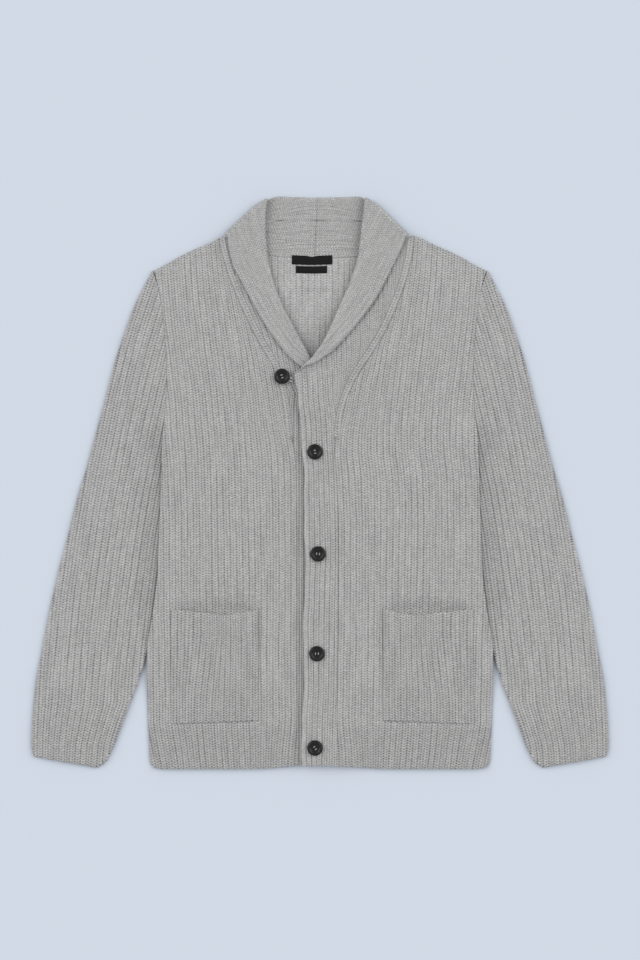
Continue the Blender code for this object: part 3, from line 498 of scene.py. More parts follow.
# seam x, seam y, fold x, fold y, edge x, edge y, turn, flatness; at the hem end the fold is the free edge
leftStrip = (
    *((sx, y, ex, y, ex, y, 0, 1) for y, sx, ex in (
        (-373, 22, -24.5), (-330, 22.2, -23.8), (-280, 22.5, -22.4), (-220, 23, -21.6),
        (-155, 23.8, -21), (-95, 23.8, -20), (-50, 23.6, -20.4), (7, 21.8, -21.8),
        (47, 18.6, -24), (82, 20, -25.6), (112, 27.2, -28.8))),
    (33.5, 127, -33, 138, -33, 138, 0, 0.66), (39, 139, -22, 150.5, -21.5, 149, 0, 0.3),
    (48.5, 155, -11, 161.5, -7, 156.5, 0, 0), (56.5, 167, -2.5, 172.5, 4.5, 164, 0, 0),
    (65.5, 181, 4.8, 183, 15, 171, 0, 0), (75.6, 197.5, 13, 199.5, 27.5, 184, 0, 0),
    (84.8, 215.5, 20.7, 217.4, 39, 197, 0, 0), (91.3, 231, 28.5, 235, 52, 213, 0, 0),
    (98, 248, 37, 254, 66, 231, 0, 0), (104.8, 267, 44.5, 274, 79.5, 253, 0, 0),
    (110.3, 287, 51, 295, 91.5, 277, 0, 0), (112.8, 299, 54, 317, 100, 293.5, 0, 0),
    (114.1, 308, 56.4, 340, 105.8, 305.5, 0, 0), (114.9, 314.5, 58.5, 359, 110, 315, 0, 0),
    *((115.4, 320, 59.5, 372.3, 112, 321.4, turn, 0) for turn in (0, 45, 90, 135, 180)),
    (107, 313.4, 52.5, 375.8, 107, 306, 180, 0), (90, 304.9, 43, 375.4, 92, 285, 180, 0),
    (67, 299.3, 32.5, 374.8, 68, 268.5, 180, 0), (42, 297, 20, 374.5, 43, 259, 180, 0),
    (18, 296, 7, 374.4, 18.5, 254.5, 180, 0), (-7.4, 295.6, -3.2, 374.4, -4.45, 253.5, 180, 0))
rightStrip = (
    *((sx, y, 13, y, 13, y, 0, 1) for y, sx in (
        (-373, -30), (-280, -30), (-180, -30), (-80, -30), (7, -31), (47, -33.8), (82, -37.4),
        (100, -39.8))),
    (-42, 114, 13, 118, 13, 118, 0, 0.66), (-44.6, 127, 6.5, 129, 6, 127.5, 0, 0.3),
    (-48.6, 141, -1, 141, -5.5, 134.5, 0, 0), (-53.4, 153, -7.5, 153, -14, 142.5, 0, 0),
    (-58.8, 164.5, -14, 164.3, -23, 150.5, 0, 0), (-65, 175, -20, 175, -31.5, 157, 0, 0),
    (-71.8, 186, -26.5, 186.5, -41, 165.5, 0, 0), (-80, 201, -34.5, 201.5, -51.5, 178, 0, 0),
    (-87.4, 216, -42.5, 217, -62, 192, 0, 0), (-94.4, 231.5, -50.2, 231.7, -72, 207, 0, 0),
    (-101.2, 247, -57, 247.5, -83, 225.5, 0, 0), (-107.8, 263, -62.5, 263.5, -94, 246, 0, 0),
    (-114.2, 280, -67, 281, -105, 267, 0, 0), (-119, 296, -70.4, 300, -114, 285, 0, 0),
    (-121.9, 307, -72.8, 329, -118.5, 302.5, 0, 0), (-123.6, 315, -72.5, 353, -121, 314.5, 0, 0),
    *((-124.4, 320.8, -69.5, 371.2, -121.4, 322.2, turn, 0) for turn in (0, 45, 90, 135, 180)),
    (-115.5, 313.9, -62.5, 374.6, -116, 306.5, 180, 0), (-98, 305.3, -52.5, 375.8, -100, 286, 180, 0),
    (-75, 299.8, -42, 375.2, -76, 269.5, 180, 0), (-50, 297.3, -30, 374.6, -51, 260, 180, 0),
    (-27, 296.1, -17, 374.4, -27.5, 255, 180, 0), (-7.6, 295.6, -3.4, 374.4, -4.75, 253.5, 180, 0))


def oneLong(v):
    return v / np.maximum(np.linalg.norm(v, axis=-1, keepdims=True), 1e-6)


def leafContactShade(x, y):  # painted contact shadow: a thin dark line on the stand's ribs along the left leaf's free edge
    leaf = np.array([row for row in leftStrip if row[6] == 0 and row[7] == 0])
    outwards = (x - np.interp(y, leaf[:, 5], leaf[:, 4])) * band["leafSlant"] - band["leafShadeGap"]
    along = smooth(*band["leafFoot"], y) * smooth(*band["leafTop"], y)
    return band["leafShadeDepth"] * np.exp(-outwards ** 2) * along


def stripPlaces(table):  # where along the table the rows are, closer together at both ends
    steps = np.diff(table, axis=0)
    seamRun, foldRun = np.hypot(*steps[:, 0:2].T), np.hypot(*steps[:, 2:4].T)
    turnRun = np.radians(steps[:, 6]) * band["turnOuter"]
    places = []
    for k, run in enumerate(np.maximum(np.maximum(seamRun, foldRun), turnRun)):
        isBand = table[k, 7] == 1 and table[k + 1, 7] == 1
        count = max(1, math.ceil(run / band["bandRowLength" if isBand else "rowLength"]))
        places += [k + i / count for i in range(count)]
    last = len(table) - 1
    return np.unique([0, 0.02, 0.05, *places[1:], last - 0.12, last - 0.05, last])


def softRise(measure, alongRoll, flat, side):  # how far free edges and the soft fold stand off
    loose = (1 - flat) ** 2
    lifted = band["lift"][side] * smooth(-quarterRoll, -quarterRoll - band["liftReach"], alongRoll) * loose
    full = band["fullness"][side] * np.exp(-(alongRoll / band["fullWidth"][side]) ** 2) * loose
    return lifted + full + band["edgeRise"] * np.exp(-(measure / band["edgeReach"]) ** 2) * flat


def creaseDepth(x, fromSeam):
    lines = sum(depth * np.exp(-((fromSeam - height) / spread) ** 2)
                for height, depth, spread in band["creases"])
    return lines * (0.65 + 0.35 * np.sin(x * 0.12 + fromSeam * 1.7))  # they fade in and out


# One half of the collar with its band. Columns run from the free edge to the seam
def collarStrip(name, node, strip, level, side):
    table = np.array(strip, float)
    places = stripPlaces(table)
    indexed = np.column_stack([np.arange(len(table)), table])
    seam, fold, edge = (np.stack([curve(indexed, places, c, level=True) for c in pair], -1)
                        for pair in ((1, 2), (3, 4), (5, 6)))
    turn = np.radians(np.interp(places, indexed[:, 0], table[:, 6]))[:, None]
    flat = curve(indexed, places, 8, level=True)[:, None]
    onFront, behind = turn == 0, turn > 3.1
    toSeam = oneLong(seam - fold)
    drop = edge - fold
    dropLength = np.linalg.norm(drop, axis=1)[:, None]
    toEdge = np.where(dropLength > 0.01, oneLong(drop), toSeam)
    fold = fold - toSeam * band["roll"] * flat
    fall = quarterRoll * (1 - 2 * flat) + np.maximum(0, dropLength - band["roll"])
    width = fall + np.linalg.norm(seam - fold, axis=1)[:, None] - band["roll"] + quarterRoll

    # The middle of the cloth, round the fold and over the turn at the shoulder
    measure = shares(band["columns"], 100.0)[None, :] * width
    fromSeam = width - measure
    alongRoll = measure - fall
    angle = np.clip(alongRoll / band["roll"], -math.pi / 2, math.pi / 2)
    straight = np.maximum(0, np.abs(alongRoll) - quarterRoll)
    reach = band["roll"] * (1 - np.cos(angle)) + straight
    rise = -band["roll"] * np.sin(angle)
    towards = np.where((alongRoll > 0)[..., None], toSeam[:, None], toEdge[:, None])
    plan = fold[:, None] + towards * reach[..., None]
    x, y = plan[..., 0], plan[..., 1]
    turnRow = table[table[:, 6] > 0][0]
    outward = oneLong(np.array([turnRow[3] - turnRow[1], turnRow[0] - turnRow[2]])) * side
    leans = 1 - band["cornerPress"] * np.exp(-(alongRoll / band["cornerReach"]) ** 2)
    up = np.dstack([outward[0] * np.sin(turn) * leans, outward[1] * np.sin(turn) * leans,
                    np.broadcast_to(np.cos(turn), measure.shape)])
    springs = softRise(measure, alongRoll, flat, side)
    lift = band["turnRadius"] + rise + springs * np.clip(np.cos(turn), 0, 1)
    turned = np.dstack([plan, np.full(measure.shape, band["turnHeight"])]) + up * lift[..., None]
    laid = np.dstack([plan, level(x, y) + band["roll"] + rise + springs])
    centre = np.where(onFront[..., None], laid, turned)
    if side > 0:
        wave = sum(size * np.sin(centre[..., 1] * share + start) for size, share, start in band["wave"])
        centre[..., 0] += wave * np.exp(-measure / band["waveReach"]) * flat
    sideways = np.dstack([towards, np.zeros(measure.shape)])
    normal = sideways * np.cos(angle)[..., None] + up * np.sin(angle)[..., None]

    # Ribs of the outside
    phase = measure / band["rib"] + sway(x, y, band["sway"])
    if side > 0:  # above the band the ribs of the stand stay upright, and end along the V
        footX, footY = table[table[:, 7] == 1][-1, 4:6]
        upright = smooth(*band["uprightFrom"], y) * (alongRoll > 0) * onFront
        standing = (x - footX + band["uprightLean"] * (y - footY)) / band["rib"] + sway(x, y, band["sway"])
        phase = phase * (1 - upright) + (standing + np.exp(-fromSeam / band["endReach"])) * upright
    crest = ribShape(phase)
    plumpEdge = smooth(band["rib"], band["rib"] - 1, measure) * flat
    plumpRib = np.sin(np.pi * np.clip(measure / band["rib"], 0, 1)) * plumpEdge
    outside = band["rightSide"] * crest * (1 - (1 - band["fallSide"]) * smooth(1, -2, alongRoll))
    outside = outside * (1 - plumpEdge) + band["plumpness"] * plumpRib
    # painted contact shadow under the left leaf's edge, through the knit's third value
    pressed = leafContactShade(x, y) * (alongRoll > band["roll"]) * onFront * (side > 0)

    # Ribs of the inside, with the creases in the back neck, sunk into the cloth and given painted shade
    wide, fine = ribShape(measure / band["rib"]), ribShape(2 * measure / band["rib"] + 0.5)
    edgeRib = np.sin(np.pi * np.clip(measure / band["edgeRib"], 0, 1)) * (turn < 0.5)
    inside = band["reverse"] * (0.45 * wide + 0.55 * fine) * (1 - edgeRib) + band["edgeRibHeight"] * edgeRib
    sunk = creaseDepth(x, fromSeam) * behind
    inside = inside - band["creaseDepth"] * sunk

    ends = fromBorder(centre, ring=True, sewn=("lastRow",))
    edgeShare = rounded(np.minimum(np.minimum(measure, sewnDistance(fromSeam)), ends), 0.15)
    outer = centre + normal * ((cloth["halfWall"] + outside) * edgeShare)[..., None]
    inner = centre - normal * ((cloth["halfWall"] + inside) * edgeShare)[..., None]
    for grid in (outer, inner):
        grid[..., 2] = np.maximum(grid[..., 2], 0.05)  # clear of the floor
    steps = np.linalg.norm(np.diff((seam + fold) / 2, axis=0), axis=1)
    runAlong = np.insert(np.cumsum(steps), 0, 0)[:, None] + band["turnRadius"] * turn
    runAlong = np.broadcast_to(runAlong, measure.shape)
    rows = runAlong / cloth["stitch"]
    joined = smooth(2.0, 0, runAlong[-1:] - runAlong) * behind  # the seam at the centre back
    knitOuter = np.stack([phase, rows, crest + 0.8 * plumpEdge - pressed], -1)
    # painted shade in the creases, and a darker line along the centre back seam, through the knit's third
    # value
    shading = 0.95 + 0.35 * wide - 1.7 * sunk - 0.75 * joined
    knitInner = np.stack([measure / band["reverseRib"], rows * band["reverseRow"], shading], -1)
    piece = clothObject(name, outer, inner, knitOuter, knitInner, ribKnit, thin=(1, 1))
    cardiganPiece(piece, node)
    return piece, seam[onFront[:, 0]], seam[behind[:, 0]]


leftCollar, leftSeam, leftNeck = collarStrip(
    "bandAndCollarLeft", "band_collar_left", leftStrip, leftLevel, 1)
rightCollar, rightSeam, rightNeck = collarStrip(
    "bandAndCollarRight", "band_collar_right", rightStrip, rightLevel, -1)
print("band and collar ready")


# Patch pockets, whose seams press the ribs under them flat

pockets = {
    "ribs": 15,
    "footY": -317.4,
    "footTilt": 4.6,  # the foot is higher at the band
    "mouthY": -167.0,
    "sag": 6.5,
    "cornerRise": 2.5,  # how much the mouth rises to its corner at the side
    "seat": 1.35,  # underside over the middle of the front, at the sewn edges
    "stand": 1.9,  # how much higher it is within them
    "gape": 4.0,  # and at the mouth
    "shift": 0.085,  # share of the width by which the ribs lean outwards below the mouth
    "left": (82.5, 202.0),
    "right": (-196.5, -80.5),
    "length": 148.5,
    "edgeSink": 1.6,  # how far in the ribs beside the sewn edges still show
    "grooveY": ((-262, -235), (1, -2)),  # the painted shade line beside the band: heights, and distances from the mouth
    "mouthSagShade": (3, 8),  # painted shade where the cloth sags over the mouth: height over it, half width
    "folds": (
        (0.5, 1.0, 0.66, 0.3, 0.06, -0.8), (0.25, 0.9, 0.3, 0.3, 0.1, 0.6),
        (0.85, 0.9, 0.86, 0.4, 0.1, 0.6)),
}


def underPocket(x, y):
    total = 0
    for low, high in (pockets["left"], pockets["right"]):
        near, far = min(abs(low), abs(high)), max(abs(low), abs(high))
        lower = smooth(-215, -245, y)  # the edge by the band sinks into the ribs only down there
        fromInner = np.abs(x) - near - pockets["edgeSink"] * lower
        fromOuter = far - np.abs(x) - pockets["edgeSink"]
        fromFoot = y - pockets["footY"] - pockets["footTilt"] / 2
        inset = np.minimum(np.minimum(fromInner, fromOuter), fromFoot)
        below = smooth(pockets["mouthY"] - 2, pockets["mouthY"] - 9, y)
        total = total + smooth(-1.1, 0.4, inset) * (x * low > 0) * below
    return total


def pocketSeamShade(x, y):  # painted shade lines along the seams: at the foot, and along the upper half of the edge by the band
    total = 0
    grooveFoot, grooveTop = pockets["grooveY"]
    for low, high in (pockets["left"], pockets["right"]):
        width = high - low
        outwards = np.abs(x) - min(abs(low), abs(high))
        foot = pockets["footY"] + pockets["footTilt"] * (1 - outwards / width)
        within = smooth(-0.5, 1, outwards) * smooth(width + 0.5, width - 1, outwards) * (x * low > 0)
        total = total + within * np.exp(-((y - foot + 0.6) / 0.8) ** 2)
        upper = smooth(*grooveFoot, y) * smooth(*grooveTop, y - pockets["mouthY"])
        total = total + 0.7 * upper * np.exp(-((outwards + 0.3) / 0.6) ** 2) * (x * low > 0)
    return total


# Fronts and back

front = {
    "rowCount": 210,
    "columnCount": 212,
    "length": 650.0,
    "width": 196.0,
    "scallop": 0.9,  # how far a rib's end hangs below the grooves beside it
    "borderRib": 8.6,  # width of the rib that follows the V
    "borderHeight": 1.4,  # its height, as a share of the others'
    "borderFrom": (40, 75),  # heights between which it starts
    "borderShade": (0.45, 1.3),  # painted shade of the groove beside it, where the ribs are also flattened: darkness, half width
    "marks": ((-133.5, 3.3), (-128.5, -40.3), (135, 3.3), (127, -39)),  # where stitches were taken in
    "markSize": (4, 1.6),
    "crowding": 1.1,  # ribs that bend to run along it, and how far from it that starts
    "bendReach": 15.0,
    "bendFrom": (30, 110),
    "hemPull": (0.75, 22, 30),  # ribs drawn to the band at the hem: share of a rib, distance, reach
    "inside": 0.3,  # rib height on the inside
    "underPocket": 0.85,  # how much flatter the ribs are under a pocket's edges
    # darkness of the painted shade lines along the pockets' seams
    "pocketShadeDepth": 0.9,
}


def hemY(x, sideX):
    over = np.maximum(0, np.abs(x) - (sideX - body["hemCorner"]))
    corner = body["hemCorner"] - np.sqrt(np.maximum(0, body["hemCorner"] ** 2 - over**2))
    return body["hemY"] + body["hemRise"] * smooth(*body["hemMiddle"], np.abs(x)) + corner


def firstAbove(function, low, high):  # lowest height between them where each row of function turns positive
    heights = np.arange(low, high, 1.0)
    positive = function(heights[None, :]) > 0
    above = np.where(positive.any(axis=1), heights[positive.argmax(axis=1)], high)
    below = above - 1
    for _ in range(14):
        middle = (above + below) / 2
        over = function(middle[:, None])[:, 0] > 0
        above, below = np.where(over, middle, above), np.where(over, below, middle)
    return above


def frontPanel(side, seam):
    seamTable = np.column_stack([seam[:, 1], seam[:, 0] * side])
    seamTop = seamTable[-1]
    gap = cloth["seamGap"]

    def lean(y):
        return body["ribLean"] * smooth(body["vStart"] - 60, 330, y)

    def inner(y):
        upper = line(seamTable, body["vStart"]) + gap + lean(y) - lean(body["vStart"])
        return np.where(y <= body["vStart"], line(seamTable, y) + gap, upper)

    def across(c, y):
        return inner(y) + c * (halfWidth(y) - inner(y))

    def cut(c, y):
        x = across(c, y)
        beyondBand = np.where(y < seamTop[0], line(seamTable, y) + gap - x, -1)
        beyondNeck = (y - seamTop[0]) - (x - seamTop[1]) + 2 * gap
        return np.maximum(np.maximum(beyondBand, beyondNeck), y - shoulderY(x))

    columns = shares(front["columnCount"], front["width"])
    rows = shares(front["rowCount"], front["length"])[:, None]
    tops = firstAbove(lambda y: cut(columns[:, None], y), body["vStart"], 330)
    bottoms = hemY(across(columns, body["hemY"]), halfWidth(body["hemY"]))
    y = bottoms + (tops - bottoms) * rows
    x = across(columns[None, :], y)
    heights = np.arange(-380, 330.0)
    slope = np.interp(y, heights, np.gradient(line(seamTable, heights)))
    fromSeam = (x - line(seamTable, y)) / np.sqrt(1 + slope**2)
    fromBorderRib = fromSeam - front["borderRib"]
    border = (y < seamTop[0] + 4) * smooth(*front["borderFrom"], y)
    borderPhase = 0.1 + 0.9 * np.clip(fromSeam / front["borderRib"], 0, 1)
    bend = front["crowding"] * np.exp(-np.maximum(fromBorderRib, 0) / front["bendReach"])
    fromBand = x - inner(y)
    ribs = fromBand / line(cloth["ribPitch"], y) + sway(x, y) - bend * smooth(*front["bendFrom"], y)
    pull, pullAt, pullReach = front["hemPull"]
    ribs = ribs - pull * smooth(-300, -377, y) * np.exp(-((fromBand - pullAt) / pullReach) ** 2)
    inBorder = (fromSeam < front["borderRib"]) & (border > 0.5)
    phase = np.where(inBorder, borderPhase, ribs)
    x = x * side
    besideBorder = smooth(0, 1.6, fromBorderRib) * border + 1 - border
    presence = np.where(inBorder, front["borderHeight"], besideBorder)
    y = y + front["scallop"] * (0.5 - ribShape(phase)) * smooth(9, 0, y - bottoms)
    depth, width = front["borderShade"]
    groove = depth * np.exp(-(fromBorderRib / width) ** 2) * (0.3 + 0.7 * border)
    presence = presence * (1 - front["underPocket"] * underPocket(x, y))
    return x, y, phase, presence, groove + front["pocketShadeDepth"] * pocketSeamShade(x, y)


def frontShadeAndTone(x, y):  # darker in the hem and a little darker below a height of about 120 to 210, and painted shade where the cloth sags over a pocket's mouth
    total = 0.2 * smooth(210, 120, y) + 0.9 * smooth(-312, -330, y)
    sagShadeY, sagShadeWidth = pockets["mouthSagShade"]
    for low, high in (pockets["left"], pockets["right"]):
        sagShade = np.exp(-((y - pockets["mouthY"] - sagShadeY) / sagShadeWidth) ** 2)
        total = total + 1.1 * sagShade * smooth(low + 2, low + 18, x) * smooth(high - 2, high - 18, x)
    return total


def atSide(x, y):  # fronts and back are thin where they meet at the side
    return 1 - 0.55 * smooth(9, 0, halfWidth(y) - np.abs(x)) * smooth(90, 60, y)


def makeFront(name, node, side, seam, level):
    x, y, phase, presence, groove = frontPanel(side, seam)
    wide, high = front["markSize"]
    marks = sum(np.exp(-((x - mx) / wide) ** 2 - ((y - my) / high) ** 2) for mx, my in front["marks"])
    piece = panel(name, x, y, level, phase, cloth["ribHeight"] * presence, front["inside"], thin=(6, 6),
                  sewn=("firstColumn", "lastColumn"), calm=-0.5 * marks - groove,
                  slim=atSide(x, y), settles=3)
    paintShadeAndTone(piece, frontShadeAndTone)
    cardiganPiece(piece, node)
    return piece


frontLeft = makeFront("frontLeft", "front_left", 1, leftSeam, leftLevel)
frontRight = makeFront("frontRight", "front_right", -1, rightSeam, rightLevel)

backNeck = {
    "columnCount": 310,
    "rowCount": 140,
    "length": 650.0,
    "width": 440.0,
    "inside": 0.4,  # rib height on the inside
    "outside": 0.8,
    "fallRidge": (254.3, 2.0, 0.9),  # the edge of the collar's fall shows through: height, half width, rise
    "fallShade": (251.6, 1.5, 0.9),  # and a painted shade line below it
    "showsWithin": (70, 50),  # distances from the middle where they end, and are full
    "insetAtNeck": 0.25,
    "insetAtShoulder": 0.6,
}
neckLine = np.concatenate([rightNeck, leftNeck[::-1]])


def backTopY(x):  # along the neck's seam, then along the shoulders
    (firstX, firstY), (lastX, lastY) = neckLine[0], neckLine[-1]
    inside = np.interp(x, neckLine[:, 0], neckLine[:, 1]) - backNeck["insetAtNeck"]
    rightEnd = firstY + (firstX - x) - backNeck["insetAtShoulder"]
    leftEnd = lastY + (x - lastX) - backNeck["insetAtShoulder"]
    beyond = np.minimum(shoulderY(x), np.where(x < 0, rightEnd, leftEnd))
    return np.where((x > firstX) & (x < lastX), inside, beyond)


def makeBack():
    share = 2 * shares(backNeck["columnCount"], backNeck["width"]) - 1
    rows = shares(backNeck["rowCount"], backNeck["length"])[:, None]
    tops = firstAbove(lambda y: y - backTopY(share[:, None] * halfWidth(y)), 200, 330)
    bottoms = hemY(share * halfWidth(body["hemY"]), halfWidth(body["hemY"]))
    y = bottoms + (tops - bottoms) * rows
    x = share[None, :] * halfWidth(y)
    ribs = x / line(cloth["ribPitch"], y) + sway(x, y)
    shows = smooth(*backNeck["showsWithin"], np.abs(x))
    ridgeY, ridgeWidth, rise = backNeck["fallRidge"]
    shadeY, shadeWidth, dark = backNeck["fallShade"]
    ridge = rise * np.exp(-((y - ridgeY) / ridgeWidth) ** 2) * shows
    under = np.exp(-((y - shadeY) / shadeWidth) ** 2) * shows
    up = backNeck["inside"] + ridge - backNeck["inside"] * under
    piece = panel("backPanel", x, y, backLevel, ribs, up, backNeck["outside"], thin=(1, 1),
                  sewn=("lastRow",), calm=0.9 - dark * under, slim=atSide(x, y), settles=1)
    cardiganPiece(piece, "back")
    return piece


back = makeBack()
print("fronts and back ready")


# Sleeves

sleeve = {
    "table": (  # outer x, outer y, inner x, inner y, armhole curve kept, gap between the layers
        (220.4, 279.4, 207.3, 68, 1.0, 0.5), (232, 257, 206.6, 62, 0.35, 1.8),
        (248, 222, 205.4, 55, 0.15, 3.4), (268, 165, 203.6, 46, 0.05, 5.4),
        (285, 100, 202.2, 32, 0.0, 6.4), (304, 31, 197.5, 8, 0.0, 6.6),
        (321, -28, 195, -38, 0.0, 6.6), (337, -90, 198.5, -90, 0.0, 6.4),
        (352, -150, 209.5, -150, 0.0, 5.6), (363, -205, 223.5, -207, 0.0, 4.4),
        (373, -258, 240, -263, 0.0, 4.0), (378, -305, 260, -315, 0.0, 3.4),
        (380, -345, 279, -362, 0.0, 2.6), (376.5, -362, 295.5, -377, 0.0, 1.8)),
    "armholeGap": 0.25,
    "sway": 0.8,  # share of the body's unevenness
    "rib": (  # height, x of one rib
        (-378, 379), (-345, 380), (-305, 379.5), (-258, 377.5), (-205, 373.5), (-150, 367.5),
        (-90, 359.5), (-28, 349.5), (31, 338.5), (100, 324.5), (181, 305), (238, 288), (279, 274)),
    "pitch": ((-378, 7.0), (-345, 7.4), (-290, 8.6), (-200, 8.8), (279, 8.8)),
    "topColumns": 150,  # and fewer on the side that lies on the floor
    "floorColumns": 76,
    "rowLength": 3.2,
    "underside": 0.8,  # how deep the grooves are on the floor
    "underBody": 0.8,  # how much flatter the ribs are under the body
    "folds": (
        (262, 150, 236, 40, 16, 1.3), (300, 10, 262, -90, 18, 1.2), (222, 60, 228, -150, 15, -0.6),
        (330, -120, 300, -220, 16, 1.0), (352, -260, 330, -330, 12, 0.8), (248, 196, 226, 120, 12, 0.8),
        (290, -180, 262, -240, 14, -0.7), (318, -30, 332, -120, 12, -0.6), (276, -280, 300, -350, 10, 0.6)),
}


def sleeveShadeAndTone(x, y):  # darker all over and more in the cuff, and painted shade where the sleeve is bent in under the body
    besideBody = np.abs(x) - halfWidth(y)
    shadeBesideBody = smooth(36, 6, besideBody) * smooth(120, 40, y) * smooth(-230, -150, y)
    return 0.4 + 0.4 * smooth(-300, -330, y) + 1.25 * shadeBesideBody


def makeSleeve(name, node, side):
    table = sleeve["table"]
    indexed = [(k, *row) for k, row in enumerate(table)]
    places = [0.0, 0.02, 0.05]  # rows, closer together at both ends
    for k in range(len(table) - 1):
        run = math.hypot(table[k + 1][0] - table[k][0], table[k + 1][1] - table[k][1])
        count = math.ceil(max(run, 12) / sleeve["rowLength"])
        places += [k + i / count for i in range(1, count + 1)]
    places = np.unique([*places, len(table) - 1.06, len(table) - 1.02])
    ox, oy, ix, iy, keep, gap = (curve(indexed, places, c, level=c > 4) for c in range(1, 7))
    outer, inner = np.stack([ox, oy], -1), np.stack([ix, iy], -1)

    def normals(points, way):
        run = np.gradient(points, axis=0)
        return oneLong(np.stack([-run[:, 1], run[:, 0]], -1)) * way

    outerNormal, innerNormal = normals(outer, 1), normals(inner, -1)
    blend = smooth(0.6, 0, places)[:, None]
    outerNormal = oneLong(outerNormal * (1 - blend) + oneLong(np.array([0.3, 0.95])) * blend)
    half, rest = cloth["halfWall"], cloth["restGap"]
    radius = (wall + rest) / 2
    start, end = outer - outerNormal * (radius + half), inner - innerNormal * (radius + half)
    first, last = start[0], end[0]

    def plan(share):
        y = first[1] + (last[1] - first[1]) * share
        ends = smooth(0.12, 0, share) * (first[0] - halfWidth(first[1]) - sleeve["armholeGap"])
        bow = halfWidth(y) + sleeve["armholeGap"] + ends - (first[0] + (last[0] - first[0]) * share)
        spot = start[:, None] + (end - start)[:, None] * share[None, :, None]
        return np.dstack([spot[..., 0] + bow[None, :] * keep[:, None], spot[..., 1]])

    def piecesOf(share, angle, way):  # centre and outward normal for the columns of one stretch of the ring
        spot = plan(share)
        outwards = (innerNormal if way < 0 else outerNormal)[:, None] * np.cos(angle)[None, :, None]
        loft = (gap[:, None] - rest) * smooth(0, 0.3, share) * smooth(1, 0.55, share) * (angle > 1)
        z = half + radius + np.sin(angle) * radius + loft
        centre = np.dstack([spot + outwards * radius, np.broadcast_to(z, spot.shape[:2])])
        normal = np.dstack([outwards, np.broadcast_to(np.sin(angle), spot.shape[:2])])
        return centre, normal

    quarter = math.pi / 2
    topShare = np.linspace(0, 1, sleeve["topColumns"])
    arc = np.linspace(quarter, -quarter, 9)[1:-1]
    floorShare = np.linspace(1, 0, sleeve["floorColumns"])
    stretches = [
        piecesOf(topShare, np.full(len(topShare), quarter), 1),
        piecesOf(np.ones(len(arc)), arc, -1),
        piecesOf(floorShare, np.full(len(floorShare), -quarter), 1),
        piecesOf(np.zeros(len(arc)), arc[::-1], 1)]
    centre = np.concatenate([c for c, _ in stretches], axis=1)
    normal = np.concatenate([n for _, n in stretches], axis=1)
    x, y = centre[..., 0], centre[..., 1]
    onTop = smooth(0.2, 1, normal[..., 2])
    pressed = smooth(1, -4, x - halfWidth(y)) * smooth(66, 54, y)  # under the body
    folds = relief(sleeve["folds"], x, y) * onTop
    inShare = np.concatenate([topShare, np.ones(len(arc)), floorShare, np.zeros(len(arc))])
    folds = folds * (smooth(0, 0.25, inShare) * smooth(1, 0.75, inShare))[None, :]
    phase = (curve(sleeve["rib"], y) - x) / line(sleeve["pitch"], y) + sway(x, y, sleeve["sway"])
    crest = ribShape(phase)
    edge = rounded(fromBorder(centre, ring=True, sewn=("firstRow",)))
    centre = centre + np.dstack([np.zeros(x.shape), np.zeros(x.shape), folds])
    below = smooth(-0.6, -1, normal[..., 2])
    ribs = crest * cloth["ribHeight"] * (1 - below) * (1 - sleeve["underBody"] * pressed)
    outside = (half + ribs - (1 - crest) * sleeve["underside"] * below) * edge
    outerGrid = centre + normal * outside[..., None]
    innerGrid = centre - normal * (half * edge)[..., None]
    outerGrid[..., 2] = np.maximum(outerGrid[..., 2], 0)
    knit = np.stack([phase, y / cloth["stitch"], crest], -1)
    for grid in (outerGrid, innerGrid):
        grid[..., 0] *= side
    piece = clothObject(name, outerGrid, innerGrid, knit, knit, ribKnit, thin=(5, 4), ring=True)
    paintShadeAndTone(piece, sleeveShadeAndTone)
    cardiganPiece(piece, node)
    return piece


for name, node, side in (("sleeveLeft", "sleeve_left", 1), ("sleeveRight", "sleeve_right", -1)):
    piece = makeSleeve(name, node, side)
print("sleeves ready")


def makePocket(name, node, xRange, level, side):
    width = xRange[1] - xRange[0]
    c = shares(pockets["ribs"] * 8, 118.0)[None, :]
    v = shares(64, 148.0)[:, None]
    outwards = c if side > 0 else 1 - c
    sag = pockets["sag"] * np.sin(np.pi * (1 - outwards) ** 1.6) * v**3
    sag = sag - pockets["cornerRise"] * (1 - outwards) ** 8 * v**3
    foot = pockets["footY"] + pockets["footTilt"] * (1 - outwards)
    x = xRange[0] + width * c + 0 * v
    y = foot + (pockets["mouthY"] - sag - foot) * v
    lean = pockets["shift"] * smooth(0.15, 0.85, v) * np.exp(-((outwards - 0.6) / 0.24) ** 2)
    phase = (outwards + lean) * pockets["ribs"] + sway(x, y, 1.3)

    # Slim along its outer edge, and along the lower half of the edge by the band
    toOuter, toInner = (1 - outwards) * 118, outwards * 118
    slim = (0.4 + 0.6 * smooth(0, 9, toOuter)) * (1 - 0.55 * smooth(9, 0, toInner) * smooth(0.6, 0.35, v))

    def height(px, py):
        inside = smooth(0, 0.1, v) * smooth(0, 0.1 - 0.07 * v, outwards) * smooth(1, 0.88, outwards)
        gape = pockets["gape"] * np.sin(np.pi * np.clip(outwards * 1.1, 0, 1)) * v**5
        soft = pockets["stand"] * inside + gape + relief(pockets["folds"], outwards, v)
        return level(px, py) + pockets["seat"] + cloth["halfWall"] * slim + soft

    crest = cloth["ribHeight"] * (0.35 + 0.65 * smooth(1, 0.955, v))  # flat at the mouth's bound edge
    outerEdge = "lastColumn" if side > 0 else "firstColumn"
    piece = panel(name, x, y, height, phase, crest, 0.3, thin=(3, 4), sewn=(outerEdge,), slim=slim)
    paintShadeAndTone(piece, lambda px, py: 0.75)
    cardiganPiece(piece, node)


makePocket("pocketLeft", "pocket_left", pockets["left"], leftLevel, 1)
makePocket("pocketRight", "pocket_right", pockets["right"], rightLevel, -1)
print("pockets ready")


# Buttons

